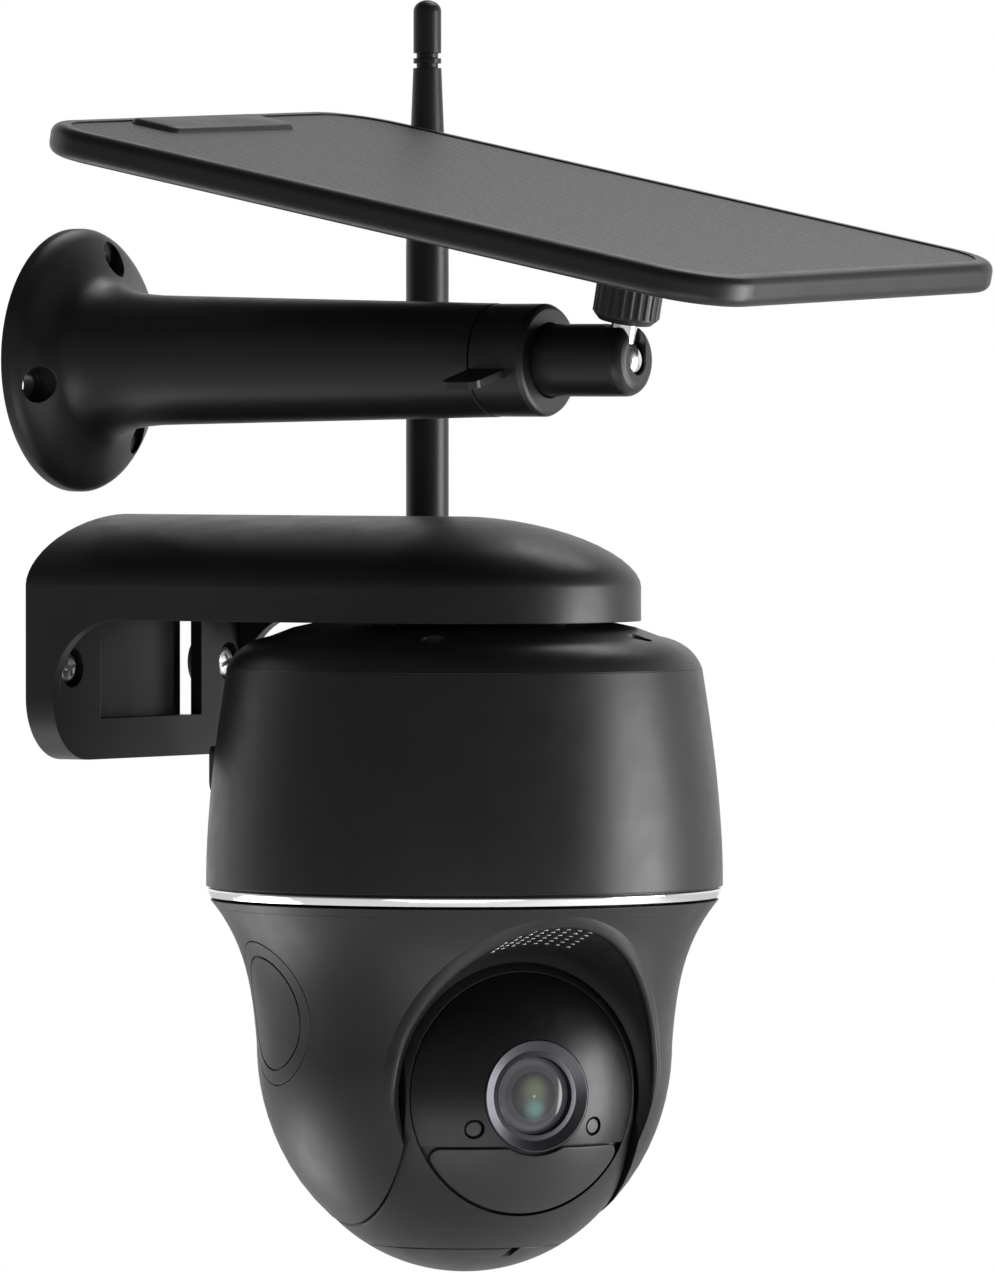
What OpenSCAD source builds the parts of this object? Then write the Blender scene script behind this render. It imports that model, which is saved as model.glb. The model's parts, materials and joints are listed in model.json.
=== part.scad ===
// Battery-powered pan and tilt security camera on its wall bracket, with a folding
// antenna and a small solar panel on its own arm.
// Millimetres. The wall is the plane Y = 0, the camera stands out of it along -Y,
// +X runs along the wall and +Z is up. The origin lies on the wall, half way between
// the two screws of the camera's wall bracket.

/* [Wall bracket] */
// Distance from the wall to the camera's vertical axis
cam_reach = 77.9; // [74:0.1:90]
// Width of the wall bracket and its hood
bracket_w = 67; // [66:0.5:72]
// Height of the hood's crest above the screw line
hood_top = 29; // [28:0.5:34]
// Height of the hood's lower edge above the screw line
hood_edge = 9.25; // [8.75:0.25:10]
// Height of the straight skirt below the hood's crown
skirt_h = 6.6; // [5:0.2:8]
// Wall of the hood moulding
bracket_wall = 2.4; // [2:0.1:3]
// Depth of the wall plate
plate_t = 6.3; // [5:0.1:8]
// Drop of the wall plate below the screw line
plate_low = 17.8; // [15:0.2:24]
// Corner radius of the wall plate
plate_corner_r = 12; // [8:0.5:14]
// Radius of the curve between the hood's edge and the wall plate
web_r = 14.2; // [10:0.2:16]
// Half width of the window in the wall plate
window_half = 17.3; // [14:0.1:18]
// Drop of the window's sill below the screw line
window_low = 10; // [8:0.5:12]
// Distance between the two bracket screws
bracket_screw_pitch = 54; // [50:0.5:56]
// Diameter of the bracket screws' shank
bracket_screw_d = 3.8; // [3:0.1:4]

/* [Twist lock] */
// Radius of the camera's lock hub
hub_r = 13.2; // [11:0.1:14]
// Height of the lock ring's underside
lock_low = 11.8; // [11.6:0.1:12.4]
// Thickness of the lock ring
lock_t = 2.4; // [1.6:0.1:3]
// Radius of the circle of the lock ring's screws
lock_screw_r = 20; // [19.5:0.1:21]

/* [Camera housing] */
// Height of the seam between the cap and the housing
seam_z = 0.2; // [-0.5:0.1:0.6]
// Height of the cap's flat top above the screw line
cap_top = 9; // [8.5:0.05:9.1]
// Radius of the housing at the cap's seam
seam_r = 45.1; // [44:0.1:46]
// Radius of the housing at its lower edge
housing_r = 49; // [48.5:0.1:52]
// Height of the housing below the seam
housing_h = 41.1; // [40.5:0.1:48]
// Wall of the cap and the housing
housing_wall = 2.2; // [1.8:0.1:2.6]
// Radius of the circle of the cap's screws
cap_screw_circle = 37; // [36:0.1:37.5]
// Number of screws in the cap
cap_screw_count = 5; // [4:1:6]
// Direction of the first cap screw
cap_screw_angle = -156.5; // [-180:0.5:180]
// Height of the chrome trim ring
ring_h = 1.9; // [1.4:0.1:2.6]

/* [Pan and tilt] */
// Direction of the lens, turned from straight out of the wall
aim = -33.5; // [-60:0.5:60]
// Gap between the pan deck and the tilting head's space below it
head_drop = 0.25; // [0.2:0.05:5]
// Radius of the tilting head
head_r = 35; // [33:0.1:35]
// Width of the tilting head between its flat cheeks
head_w = 47; // [44:0.1:47]
// Wall of the tilting head
head_wall = 2; // [1.6:0.1:2.4]
// Gap between the tilting head and the shell around it
head_gap = 0.4; // [0.3:0.05:0.6]
// Wall of the pan shell
shell_wall = 2.4; // [2:0.1:2.6]
// Radius of the pan shell at its upper edge
shell_top_r = 48.2; // [47.5:0.1:48.8]
// Distance between the head's space and the pan shell's waist around it
waist_wall = 4; // [3.5:0.1:5.6]
// Step from the head's space in to the brow's opening
lip_inset = 10.7; // [9.4:0.1:11.4]
// Radius of the tilt shafts
tilt_shaft_r = 4; // [3:0.1:4.5]
// Module of the tilt gears
tilt_module = 0.8; // [0.7:0.01:0.82]
// Module of the pan gears
pan_module = 1; // [0.9:0.01:1.1]
// Diameter of the round covers on the cheeks
cover_d = 27; // [24:0.2:28]

/* [Lens and face] */
// Radius of the glossy face
face_r = 22.8; // [21:0.1:23]
// Outer radius of the lens bezel
bezel_r = 10.5; // [9:0.1:11]
// Radius of the lens glass
glass_r = 7.3; // [6:0.1:8]
// Drop of the lower window's edge below the lens axis
window_drop = 9.4; // [8.5:0.1:10.4]
// Radius of the two small windows beside the lens
pip_r = 1.7; // [1:0.1:2]

/* [Antenna] */
// Distance from the antenna mount's face to the antenna's axis
antenna_gap = 6.8; // [4.4:0.1:9]
// Direction of the antenna around the camera
antenna_angle = 39.9; // [30:0.1:50]
// Height of the antenna's hinge
antenna_hinge_z = -14; // [-20:0.5:-10]
// Height of the antenna's tip
antenna_tip_z = 128.4; // [100:0.2:160]
// Diameter of the antenna's lower sleeve
antenna_d = 8.3; // [7:0.1:9]
// Diameter of the antenna's tip
antenna_tip_d = 5.4; // [4:0.1:6]

/* [Solar arm] */
// Sideways place of the solar arm
arm_x = -16.5; // [-20:0.1:-12]
// Height of the solar arm
arm_z = 58.6; // [56:0.1:70]
// Radius of the arm's wall flange
flange_r = 25.2; // [24.5:0.1:28]
// Radius of the circle of the flange's three holes
flange_hole_circle = 20.15; // [20:0.05:21]
// Radius of the flange's screw holes
flange_hole_r = 2; // [1.5:0.1:2.4]
// Radius of the tube at its root
tube_root_r = 12.4; // [12:0.1:13]
// Radius of the tube at its collar
tube_end_r = 10.7; // [10.4:0.1:11]
// Distance from the wall to the collar
tube_len = 95.8; // [90:0.1:100]
// Length of the lock collar
collar_len = 11.7; // [10:0.1:14]
// Radius of the turning socket tube
socket_r = 6.8; // [6.6:0.1:7]
// Distance from the collar's end to the ball
ball_clear = 15.2; // [15:0.1:22]
// Radius of the ball
ball_r = 4.4; // [4:0.05:4.5]
// Radius of the ball's stem
stem_r = 2.5; // [2:0.1:2.6]

/* [Solar panel] */
// Length of the solar panel
panel_len = 154; // [130:1:180]
// Width of the solar panel
panel_w = 110; // [90:1:111]
// Thickness of the solar panel
panel_t = 5.8; // [5:0.1:8]
// Corner radius of the solar panel
panel_corner_r = 14; // [8:0.5:18]
// Radius of the panel's rounded edge
panel_edge_r = 2; // [1:0.1:2.4]
// Width of the rim around the cells
panel_rim = 3.4; // [3:0.1:6]
// Distance from the ball to the middle of the panel, towards the wall
panel_shift = 26.2; // [20:0.1:27]
// Height of the panel's underside above the ball
panel_lift = 21.2; // [19:0.1:24]
// Forward pitch of the panel
panel_pitch = 11.4; // [10:0.1:40]
// Sideways roll of the panel
panel_roll = -2; // [-6:0.1:6]

/* [Quality] */
// Number of steps in a moulded curve
curve_steps = 14; // [8:1:24]

/* [Hidden] */

$fn = 96;
eps = 0.01;        // overlap that makes a cut pass right through a face
loose = 0.3;       // gap between faces of pieces that move past each other
running = 0.05;    // radial clearance of a shaft in its bearing
seated = 0.1;      // gap between a piece and the pocket that it is fixed in

satin_black = "#2b2b2d";
gloss_black = "#101012";
dark_grey = "#5b5b5f";
steel = "#c9cbce";
chrome = "#dfe2e6";
brass = "#b59a5a";
board_green = "#1f5a3a";
rubber = "#1c1c1c";
white_plastic = "#d8d8d2";

// Bracket
bracket_half = bracket_w / 2;
crown_top = hood_edge + skirt_h;
crown_rise = hood_top - crown_top;
crown_power = 1.75;
plate_skin = 2.5;
strip_t = 1.5;
sill_t = 1.6;
strip_half = window_half - 0.3;
boss_r = 5.2;
screw_head_r = 2.9;
screw_head_t = 1.9;
counterbore_r = 3.8;
counterbore_depth = 2.2;

// Housing and its contents, by height
housing_low = seam_z - housing_h;
floor_t = 2.4;
flange_t = 0.4;
floor_top = housing_low + floor_t;
ring_top = housing_low - flange_t;
ring_low = ring_top - ring_h;
ring_inner_r = housing_r - 4.8;
shell_top = ring_low - loose - 0.05;
deck_t = 1.6;
deck_top = ring_low + 1.3;
pan_hub_r = 8;
pan_bore_r = pan_hub_r + running;
washer_t = 0.6;
gear_t = 4;
pan_gear_low = floor_top + washer_t + loose;
pan_gear_teeth = 40;
pan_pinion_teeth = 12;
pan_centres = pan_module * (pan_gear_teeth + pan_pinion_teeth) / 2;
pan_motor_angle = 90;
pan_motor_r = 12;
pan_motor_h = 9;
pan_motor_low = pan_gear_low + gear_t + 1;
motor_shaft_r = 1.5;
board_t = 1.6;
board_low = pan_motor_low + pan_motor_h + 1.5;
board_r = 40;
standoff_circle = 36;
tray_low = board_low + board_t + 1.4;
tray_t = 1.4;
cell_r = 9.2;
cell_len = 65;
cell_spacing = 20;
cell_offset = -3.2;
cell_angle = cap_screw_angle + 216;
cell_z = tray_low + tray_t + cell_r;
port_z = board_low + board_t + 1.6;
port_angle = 112;
switch_angle = 78;

// Tilting head
head_half = head_w / 2;
cavity_r = head_r + head_gap;
tilt_z = shell_top - head_drop - cavity_r;
cheek_in = head_half + 0.7;
cheek_t = 1.6;
cup_wall = 1.6;
tilt_gear_teeth = 26;
tilt_pinion_teeth = 11;
tilt_centres = tilt_module * (tilt_gear_teeth + tilt_pinion_teeth) / 2;
tilt_gear_t = 3.2;
tilt_gear_in = cheek_in + cheek_t + 1;
tilt_motor_r = 9.4;
tilt_motor_t = 5.2;
tilt_motor_in = tilt_gear_in + tilt_gear_t + 0.7;
motor_room = 1;    // gap between the tilt motor and the shell's wall
waist_r = max(cavity_r + waist_wall, tilt_motor_in + tilt_motor_t + motor_room + shell_wall);
lid_depth = 5.6;
lid_drop = head_r - lid_depth;
lid_r = sqrt(head_r * head_r - lid_drop * lid_drop);
split_y = 5;
lip_r = cavity_r - lip_inset;
lip_depth = sqrt(cavity_r * cavity_r - lip_r * lip_r);
brow_depth = cavity_r - 4.4;
brow_r = lip_r + 3.3;
brow_slope = 0.3;
brow_wall = 2.4;
pocket_t = 1.3;
cover_t = 1.2;

// Solar arm and panel
spigot_r = socket_r + 2;
spigot_len = 7.8;
arm_bore_r = socket_r + loose;
collar_r = tube_end_r - 0.1;
socket_sunk = 40;
ball_reach = tube_len + collar_len + ball_clear;
slot_half = stem_r + loose;
socket_end = ball_reach + 4.2;
nut_r = 6.35;
nut_low = 7.3;
nut_high = 15;
boss_top_r = 7.5;
laminate_t = 0.9;
pocket_depth = 1.2;

// ---- curves ----

// Quadratic curve from a to c, pulled towards b
function bend(a, b, c, n) =
    [for (i = [0:n]) let (t = i / n)
        a * (1 - t) * (1 - t) + b * 2 * t * (1 - t) + c * t * t];

// Quarter of a superellipse: half width w, height h, on the height base
function crown(w, h, base) =
    [for (i = [0:curve_steps]) let (a = 90 * i / curve_steps)
        [w * pow(cos(a), 2 / crown_power), base + h * pow(sin(a), 2 / crown_power)]];

// Radius of the fixed housing at height z: narrow at the cap, almost straight below
function housing_at(z) =
    seam_r + (housing_r - seam_r) * (1 - pow(1 - min(1, (seam_z - z) / 38.2), 1.6));

// Radius of the pan shell at height z above the tilt axis: a bowl below the waist,
// and above it a flare that turns out to the trim ring
waist_up = 8;
bowl_depth = waist_up + head_r - 0.7;
shell_rise = shell_top - tilt_z;
function shell_at(z) = z < waist_up
    ? waist_r * sqrt(max(0, 1 - pow((waist_up - z) / bowl_depth, 2)))
    : let (t = (z - waist_up) / (shell_rise - waist_up))
        waist_r + 3.2 * pow(t, 1.2) + (shell_top_r - waist_r - 3.2) * pow(t, 3.4);

// Radius of the brow's funnel at depth d in front of the tilt axis
function brow_at(d) = brow_r + brow_slope * (d - brow_depth);

// Outline of a spur gear with involute flanks, a tooth centred on the X axis
function involute(a) = tan(a) * 180 / PI - a;
function tooth_half(r, base, at_pitch, pa) =
    at_pitch + involute(pa) - involute(acos(min(1, base / max(r, base))));
function gear_outline(teeth, m, play = 0.16, pa = 25) =
    let (
        pitch = m * teeth / 2,
        base = pitch * cos(pa),
        tip = pitch + 0.8 * m,
        root = pitch - 1.1 * m,
        at_pitch = 90 / teeth - play / pitch * 90 / PI,
        first = max(base, root),
        radii = [root, first + 0.001, first + (tip - first) / 3, first + 2 * (tip - first) / 3, tip]
    )
    [for (k = [0:teeth - 1], side = [-1, 1], i = [0:4])
        let (
            r = radii[side < 0 ? i : 4 - i],
            a = 360 * k / teeth + side * tooth_half(r, base, at_pitch, pa)
        )
        [r * cos(a), r * sin(a)]];

// ---- places ----

// Extrude a drawing of (x, z) outwards from the wall, from one depth to another
module outward(from, to) {
    translate([0, -from, 0]) rotate([90, 0, 0]) linear_extrude(to - from) children();
}

// Extrude a drawing of (-depth, z) across the bracket
module across(w) {
    translate([-w / 2, 0, 0]) rotate([90, 0, 90]) linear_extrude(w) children();
}

module at_camera() { translate([0, -cam_reach, 0]) children(); }
module facing() { at_camera() rotate(aim) children(); }
module at_tilt() { facing() translate([0, 0, tilt_z]) children(); }

// Local +Z becomes the lens direction, local +Y stays up
module lens_axis() { rotate([90, 0, 0]) children(); }

// Local +Z becomes the tilt axis, on the side given by the sign
module tilt_axis(side) { rotate([0, 90 * side, 0]) children(); }

module at_arm() { translate([arm_x, 0, arm_z]) rotate([90, 0, 0]) children(); }
module at_ball() { translate([arm_x, -ball_reach, arm_z]) rotate([0, panel_roll, 0]) children(); }
module on_stem() { at_ball() rotate([panel_pitch, 0, 0]) children(); }
module on_panel() { on_stem() translate([0, panel_shift, panel_lift]) children(); }

module ring_of(count, first) {
    for (i = [0:count - 1]) rotate(first + 360 * i / count) children();
}

// Side of the housing at an angle: local +X points outwards, origin on the axis
module housing_side(angle, z) { at_camera() rotate(angle) translate([0, 0, z]) children(); }

module tube(r_out, r_in, h) {
    difference() {
        cylinder(r = r_out, h = h);
        translate([0, 0, -eps]) cylinder(r = r_in, h = h + 2 * eps);
    }
}

// Flat bar with four round corners, centred on the origin
module round_rect(l, w, r) {
    square([l - 2 * r, w], center = true);
    square([l, w - 2 * r], center = true);
    for (x = [-1, 1], y = [-1, 1])
        translate([x * (l / 2 - r), y * (w / 2 - r)]) circle(r = r);
}

// Cross recess of a screw head, cut downwards from the origin
module cross_recess(w, depth) {
    for (a = [0, 90])
        rotate(a) translate([-w / 2, -w / 8, -depth]) cube([w, w / 4, depth + 1]);
}

// Screw that points down, its head's underside on the origin
module screw(head_r, head_t, shank_r, length) {
    difference() {
        union() {
            rotate_extrude() polygon(concat(
                [[0, 0], [head_r, 0], [head_r, head_t * 0.4]],
                [for (i = [1:5]) let (a = 18 * i)
                    [head_r * cos(a), head_t * (0.4 + 0.6 * sin(a))]]));
            translate([0, 0, -length]) cylinder(r = shank_r, h = length + eps);
        }
        translate([0, 0, head_t]) cross_recess(head_r * 1.25, head_t * 0.6);
    }
}

// ---- wall bracket ----

// Front view of the hood and plate, drawn in (x, z)
module bracket_front(half, top_rise, low, corner_r) {
    side = crown(half, top_rise, crown_top);
    polygon(concat(side, [for (i = [curve_steps:-1:0]) [-side[i][0], side[i][1]]]));
    translate([-half, low + corner_r]) square([2 * half, crown_top - low - corner_r + eps]);
    translate([-half + corner_r, low]) square([2 * (half - corner_r), corner_r + eps]);
    for (s = [-1, 1]) translate([s * (half - corner_r), low + corner_r]) circle(r = corner_r);
}

// Side view of the bracket, drawn in (-depth, z)
module bracket_side() {
    reach = cam_reach;
    translate([-plate_t, -plate_low]) square([plate_t, plate_low + hood_top]);
    translate([-reach, hood_edge]) square([reach, hood_top - hood_edge]);
    difference() {
        translate([-plate_t - web_r, hood_edge - web_r]) square([web_r + eps, web_r + eps]);
        translate([-plate_t - web_r, hood_edge - web_r]) circle(r = web_r);
    }
}

// Half round end of the hood, or of its hollow
module hood_nose(half, top_rise, low) {
    side = crown(half, top_rise, crown_top);
    at_camera() rotate(180) rotate_extrude(angle = 180)
        polygon(concat([[0, low], [half, low]], side));
}

module bracket_body() {
    intersection() {
        across(bracket_w) bracket_side();
        outward(0, cam_reach) bracket_front(bracket_half, crown_rise, -plate_low, plate_corner_r);
    }
    hood_nose(bracket_half, crown_rise, hood_edge);
}

// Hood, wall plate and window, before anything is added behind them
module bracket_shell() {
    inner_half = bracket_half - bracket_wall;
    inner_rise = crown_rise - bracket_wall;
    difference() {
        bracket_body();
        outward(plate_t, cam_reach)
            bracket_front(inner_half, inner_rise, -plate_low - 20, 1);
        hood_nose(inner_half, inner_rise, hood_edge - 5);
        outward(-eps, plate_t - plate_skin)
            bracket_front(inner_half, inner_rise, -plate_low + bracket_wall,
                plate_corner_r - bracket_wall);
        outward(plate_t - plate_skin - 1, plate_t + 1) intersection() {
            bracket_front(inner_half, inner_rise, -plate_low, plate_corner_r);
            translate([-window_half, -window_low])
                square([2 * window_half, window_low + hood_top]);
        }
    }
}

module at_bracket_screws(depth) {
    for (s = [-1, 1]) translate([s * bracket_screw_pitch / 2, -depth, 0])
        rotate([90, 0, 0]) children();
}

module wall_bracket() {
    sill_low = -window_low - sill_t;
    color(satin_black) difference() {
        union() {
            bracket_shell();
            // strip across the back of the window, with the sill that carries it
            outward(0, strip_t) intersection() {
                bracket_front(bracket_half - 1, crown_rise - 1, -plate_low, plate_corner_r);
                translate([-strip_half, sill_low]) square([2 * strip_half, window_low + hood_top]);
            }
            outward(0, plate_t - 1) translate([-strip_half, sill_low])
                square([2 * strip_half, sill_t]);
            at_bracket_screws(0) cylinder(r = boss_r, h = plate_t - 0.2);
            // bosses under the crown that carry the lock ring
            intersection() {
                bracket_body();
                at_camera() ring_of(3, 30) translate([lock_screw_r, 0, lock_low + lock_t])
                    cylinder(r = 3.5, h = hood_top);
            }
        }
        at_bracket_screws(-1) cylinder(r = bracket_screw_d / 2 + 0.2, h = plate_t + 2);
        at_bracket_screws(plate_t - counterbore_depth) cylinder(r = counterbore_r, h = plate_t);
        at_camera() ring_of(3, 30) translate([lock_screw_r, 0, lock_low])
            cylinder(r = 1.3, h = 8);
    }
}

module bracket_screws() {
    color(steel) at_bracket_screws(plate_t - counterbore_depth) rotate(20)
        screw(screw_head_r, screw_head_t, bracket_screw_d / 2, plate_t - counterbore_depth - 0.4);
}

module lug_sectors(r, h, width) {
    for (i = [0:2]) rotate(90 + 120 * i) intersection() {
        cylinder(r = r, h = h);
        translate([0, -width / 2, 0]) cube([r, width, h]);
    }
}

lug_r = hub_r + 2.7;
lug_w = 9;
module lock_ring() {
    color(steel) at_camera() translate([0, 0, lock_low]) difference() {
        cylinder(r = lock_screw_r + 3.8, h = lock_t);
        translate([0, 0, -1]) cylinder(r = hub_r + loose, h = lock_t + 2);
        translate([0, 0, -1]) rotate(60) lug_sectors(lug_r + loose, lock_t + 2, lug_w + 1);
        ring_of(3, 30) translate([lock_screw_r, 0, -1]) cylinder(r = 1.6, h = lock_t + 2);
    }
}

module lock_ring_screws() {
    color(steel) at_camera() ring_of(3, 30) translate([lock_screw_r, 0, lock_low])
        mirror([0, 0, 1]) screw(2.6, 1.6, 1.25, 7);
}

// ---- fixed housing ----

// Half section of the cap's outside: a round shoulder, a shallow cone and a flat top
function cap_outline(inset) = concat(
    bend([seam_r - inset, seam_z], [seam_r - 1.8 - inset, seam_z + 5 - inset],
        [cap_screw_circle, seam_z + 6.1 - inset], 8),
    [[32.5, cap_top - 1 - inset]],
    bend([29, cap_top - 0.25 - inset], [26, cap_top - inset], [22, cap_top - inset], 3));

module top_cap() {
    hub_top = lock_low + lock_t + 2;
    color(satin_black) at_camera() difference() {
        union() {
            difference() {
                rotate_extrude() polygon(concat([[0, seam_z]], cap_outline(0), [[0, cap_top]]));
                translate([0, 0, -eps]) rotate_extrude()
                    polygon(concat([[0, seam_z]], cap_outline(housing_wall),
                        [[0, cap_top - housing_wall]]));
            }
            translate([0, 0, cap_top - housing_wall]) cylinder(r = hub_r, h = hub_top - cap_top + housing_wall);
            translate([0, 0, lock_low + lock_t]) lug_sectors(lug_r, 2, lug_w);
            ring_of(cap_screw_count, cap_screw_angle) translate([cap_screw_circle, 0, seam_z])
                cylinder(r = 3.4, h = 4.6);
        }
        translate([0, 0, cap_top - housing_wall - 1]) cylinder(r = hub_r - 3, h = hub_top - cap_top + 1);
        ring_of(cap_screw_count, cap_screw_angle) translate([cap_screw_circle, 0, 0]) {
            translate([0, 0, seam_z + 1.8]) cylinder(r = 2.35, h = 10);
            translate([0, 0, -1]) cylinder(r = 1.3, h = 6);
        }
    }
}

module cap_screws() {
    color(steel) at_camera() ring_of(cap_screw_count, cap_screw_angle)
        translate([cap_screw_circle, 0, seam_z + 1.8]) screw(2.1, 1.6, 1.1, 6);
}

module cap_seal() {
    color(rubber) at_camera() translate([0, 0, seam_z - 1.2])
        tube(seam_r - housing_wall - seated, seam_r - housing_wall - 1.3, 1.2);
}

function housing_wall_pts(inset, top, low) =
    [for (i = [0:curve_steps]) let (z = top + (low - top) * i / curve_steps)
        [housing_at(z) - inset, z]];

module housing_solid(inset, top, low) {
    rotate_extrude() polygon(concat([[0, top]], housing_wall_pts(inset, top, low), [[0, low]]));
}

module port_pocket(angle, l, h) {
    housing_side(angle, port_z) translate([housing_at(port_z) - 1.3, -l / 2, -h / 2])
        cube([10, l, h]);
}

module upper_housing() {
    color(satin_black) difference() {
        union() {
            at_camera() difference() {
                housing_solid(0, seam_z, housing_low);
                housing_solid(housing_wall, seam_z + eps, housing_low - eps);
            }
            // screw posts below the cap, each on a web from the wall
            at_camera() ring_of(cap_screw_count, cap_screw_angle) {
                translate([cap_screw_circle, 0, seam_z - 7]) cylinder(r = 3, h = 7);
                translate([cap_screw_circle, -1.1, seam_z - 7])
                    cube([seam_r - cap_screw_circle - 1, 2.2, 5.6]);
            }
            // backing of the two rear pockets
            for (a = [port_angle, switch_angle]) intersection() {
                at_camera() housing_solid(0.5, seam_z, housing_low);
                housing_side(a, port_z) translate([housing_at(port_z) - 3.5, -9, -6])
                    cube([10, 18, 12]);
            }
        }
        at_camera() ring_of(cap_screw_count, cap_screw_angle)
            translate([cap_screw_circle, 0, seam_z - 8]) cylinder(r = 1.15, h = 12);
        port_pocket(port_angle, 15, 9);
        port_pocket(switch_angle, 11, 6);
        housing_side(port_angle, port_z) translate([housing_at(port_z) - 12, -4.8, -2])
            cube([14, 9.6, 4]);
        housing_side(switch_angle, port_z) translate([housing_at(port_z) - 12, -3.4, -1.3])
            cube([14, 6.8, 2.6]);
        housing_side(antenna_angle, antenna_hinge_z) translate([housing_at(antenna_hinge_z) - 5, 0, 0])
            rotate([0, 90, 0]) cylinder(r = 3.1, h = 10);
    }
}

module trim_ring() {
    color(chrome) at_camera() difference() {
        rotate_extrude() polygon([
            [ring_inner_r, ring_low], [housing_r - 0.4, ring_low], [housing_r, ring_low + 0.4],
            [housing_r, ring_top - 0.4], [housing_r - 0.4, ring_top], [ring_inner_r, ring_top]]);
    }
}

module base_plate() {
    floor_r = housing_r - housing_wall - 0.35;
    color(satin_black) at_camera() {
        difference() {
            union() {
                translate([0, 0, housing_low]) cylinder(r = floor_r, h = floor_t);
                translate([0, 0, ring_top]) cylinder(r = housing_r - 0.8, h = flange_t);
            }
            translate([0, 0, ring_top - 1]) cylinder(r = pan_bore_r, h = 10);
            rotate(pan_motor_angle) translate([pan_centres, 0, floor_top - 1.2])
                cylinder(r = motor_shaft_r + running, h = 3);
        }
        // posts for the board and for the pan motor
        ring_of(3, 30) translate([standoff_circle, 0, floor_top - eps])
            cylinder(r = 2.5, h = board_low - floor_top + eps);
        rotate(pan_motor_angle) for (s = [-1, 1])
            translate([pan_centres, s * 9.8, floor_top - eps])
                cylinder(r = 1.9, h = pan_motor_low - floor_top + eps);
    }
}

module pan_washer() {
    color(white_plastic) at_camera() translate([0, 0, floor_top]) tube(15, pan_bore_r + 0.2, washer_t);
}

module pan_motor() {
    color(steel) at_camera() rotate(pan_motor_angle) translate([pan_centres, 0, pan_motor_low])
        difference() {
            union() {
                cylinder(r = pan_motor_r, h = pan_motor_h - 1.5);
                cylinder(r = pan_motor_r - 2, h = pan_motor_h);
            }
            translate([0, 0, -1]) cylinder(r = motor_shaft_r + running, h = 6);
        }
}

module pan_pinion() {
    color(brass) at_camera() rotate(pan_motor_angle) translate([pan_centres, 0, 0]) {
        translate([0, 0, pan_gear_low]) linear_extrude(gear_t + 0.4)
            rotate(180 / pan_pinion_teeth) polygon(gear_outline(pan_pinion_teeth, pan_module));
        translate([0, 0, floor_top - 0.9]) cylinder(r = motor_shaft_r, h = pan_motor_low - floor_top + 5);
    }
}

module main_board() {
    color(board_green) at_camera() {
        translate([0, 0, board_low]) cylinder(r = board_r, h = board_t);
        for (p = [[-14, -12, 12, 12], [6, -22, 14, 9], [-24, 8, 8, 8], [4, 2, 10, 6]])
            translate([p[0], p[1], board_low + board_t - eps]) cube([p[2], p[3], 1.2]);
    }
}

module battery_tray() {
    wall_h = 6;
    color(satin_black) at_camera() rotate(cell_angle) translate([cell_offset, 0, tray_low]) {
        translate([-cell_len / 2 - 2, -cell_spacing, 0]) cube([cell_len + 4, 2 * cell_spacing, tray_t]);
        for (s = [-1, 1]) translate([s * (cell_len / 2 + 1.2) - 0.8, -cell_spacing / 2, 0])
            cube([1.6, cell_spacing, tray_t + wall_h]);
        for (x = [-24, 0, 24], y = [-16, 16])
            translate([x - 1, y - 1, -1.4 - eps]) cube([2, 2, 1.4 + 2 * eps]);
    }
}

module battery_cells() {
    color("#3f6f9f") at_camera() rotate(cell_angle) for (s = [-1, 1])
        translate([cell_offset - cell_len / 2, s * cell_spacing / 2, cell_z])
            rotate([0, 90, 0]) union() {
                cylinder(r = cell_r, h = cell_len - 1);
                cylinder(r = 3, h = cell_len);
            }
}

module usb_socket() {
    mouth = housing_at(port_z) - 1.6;
    color(steel) housing_side(port_angle, port_z) difference() {
        translate([mouth - 8, -4.5, -1.6]) cube([8, 9, 3.2]);
        translate([mouth - 6, -4.15, -1.25]) cube([7, 8.3, 2.5]);
    }
}

module switch_block() {
    face = housing_at(port_z) - housing_wall - 1.6;
    color(steel) housing_side(switch_angle, port_z) translate([face - 6, -5, -1.6]) cube([6, 10, 3]);
}

module power_switch() {
    floor_r = housing_at(port_z) - 1.3;
    color(satin_black) housing_side(switch_angle, port_z) {
        translate([floor_r - 2, -1.7, -1]) cube([2.4, 2.2, 2]);
        translate([floor_r + loose, -3.4, -1.8]) cube([1, 4.2, 3.6]);
    }
}

module port_plug() {
    floor_r = housing_at(port_z) - 1.3;
    color(rubber) housing_side(port_angle, port_z) {
        translate([floor_r + 0.05, 0, 0]) rotate([0, 90, 0]) linear_extrude(1.5)
            round_rect(8.4, 14.4, 2);
        translate([floor_r - 2.8, -3.8, -0.9]) cube([3.5, 7.6, 1.8]);
    }
}

// ---- antenna ----

mount_r = 4.6;
mount_face = housing_at(antenna_hinge_z - mount_r) + 2.52;
antenna_reach = mount_face + antenna_gap;
knuckle_in = mount_face + loose;
ear_in = 2.5;
ear_t = 1.7;
antenna_pin_r = 1.2;
spindle_r = 2;

module on_antenna() { housing_side(antenna_angle, antenna_hinge_z) translate([antenna_reach, 0, 0]) children(); }

// Local +Z points outwards through the housing's wall at the antenna
module through_wall() { housing_side(antenna_angle, antenna_hinge_z) rotate([0, 90, 0]) children(); }

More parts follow.
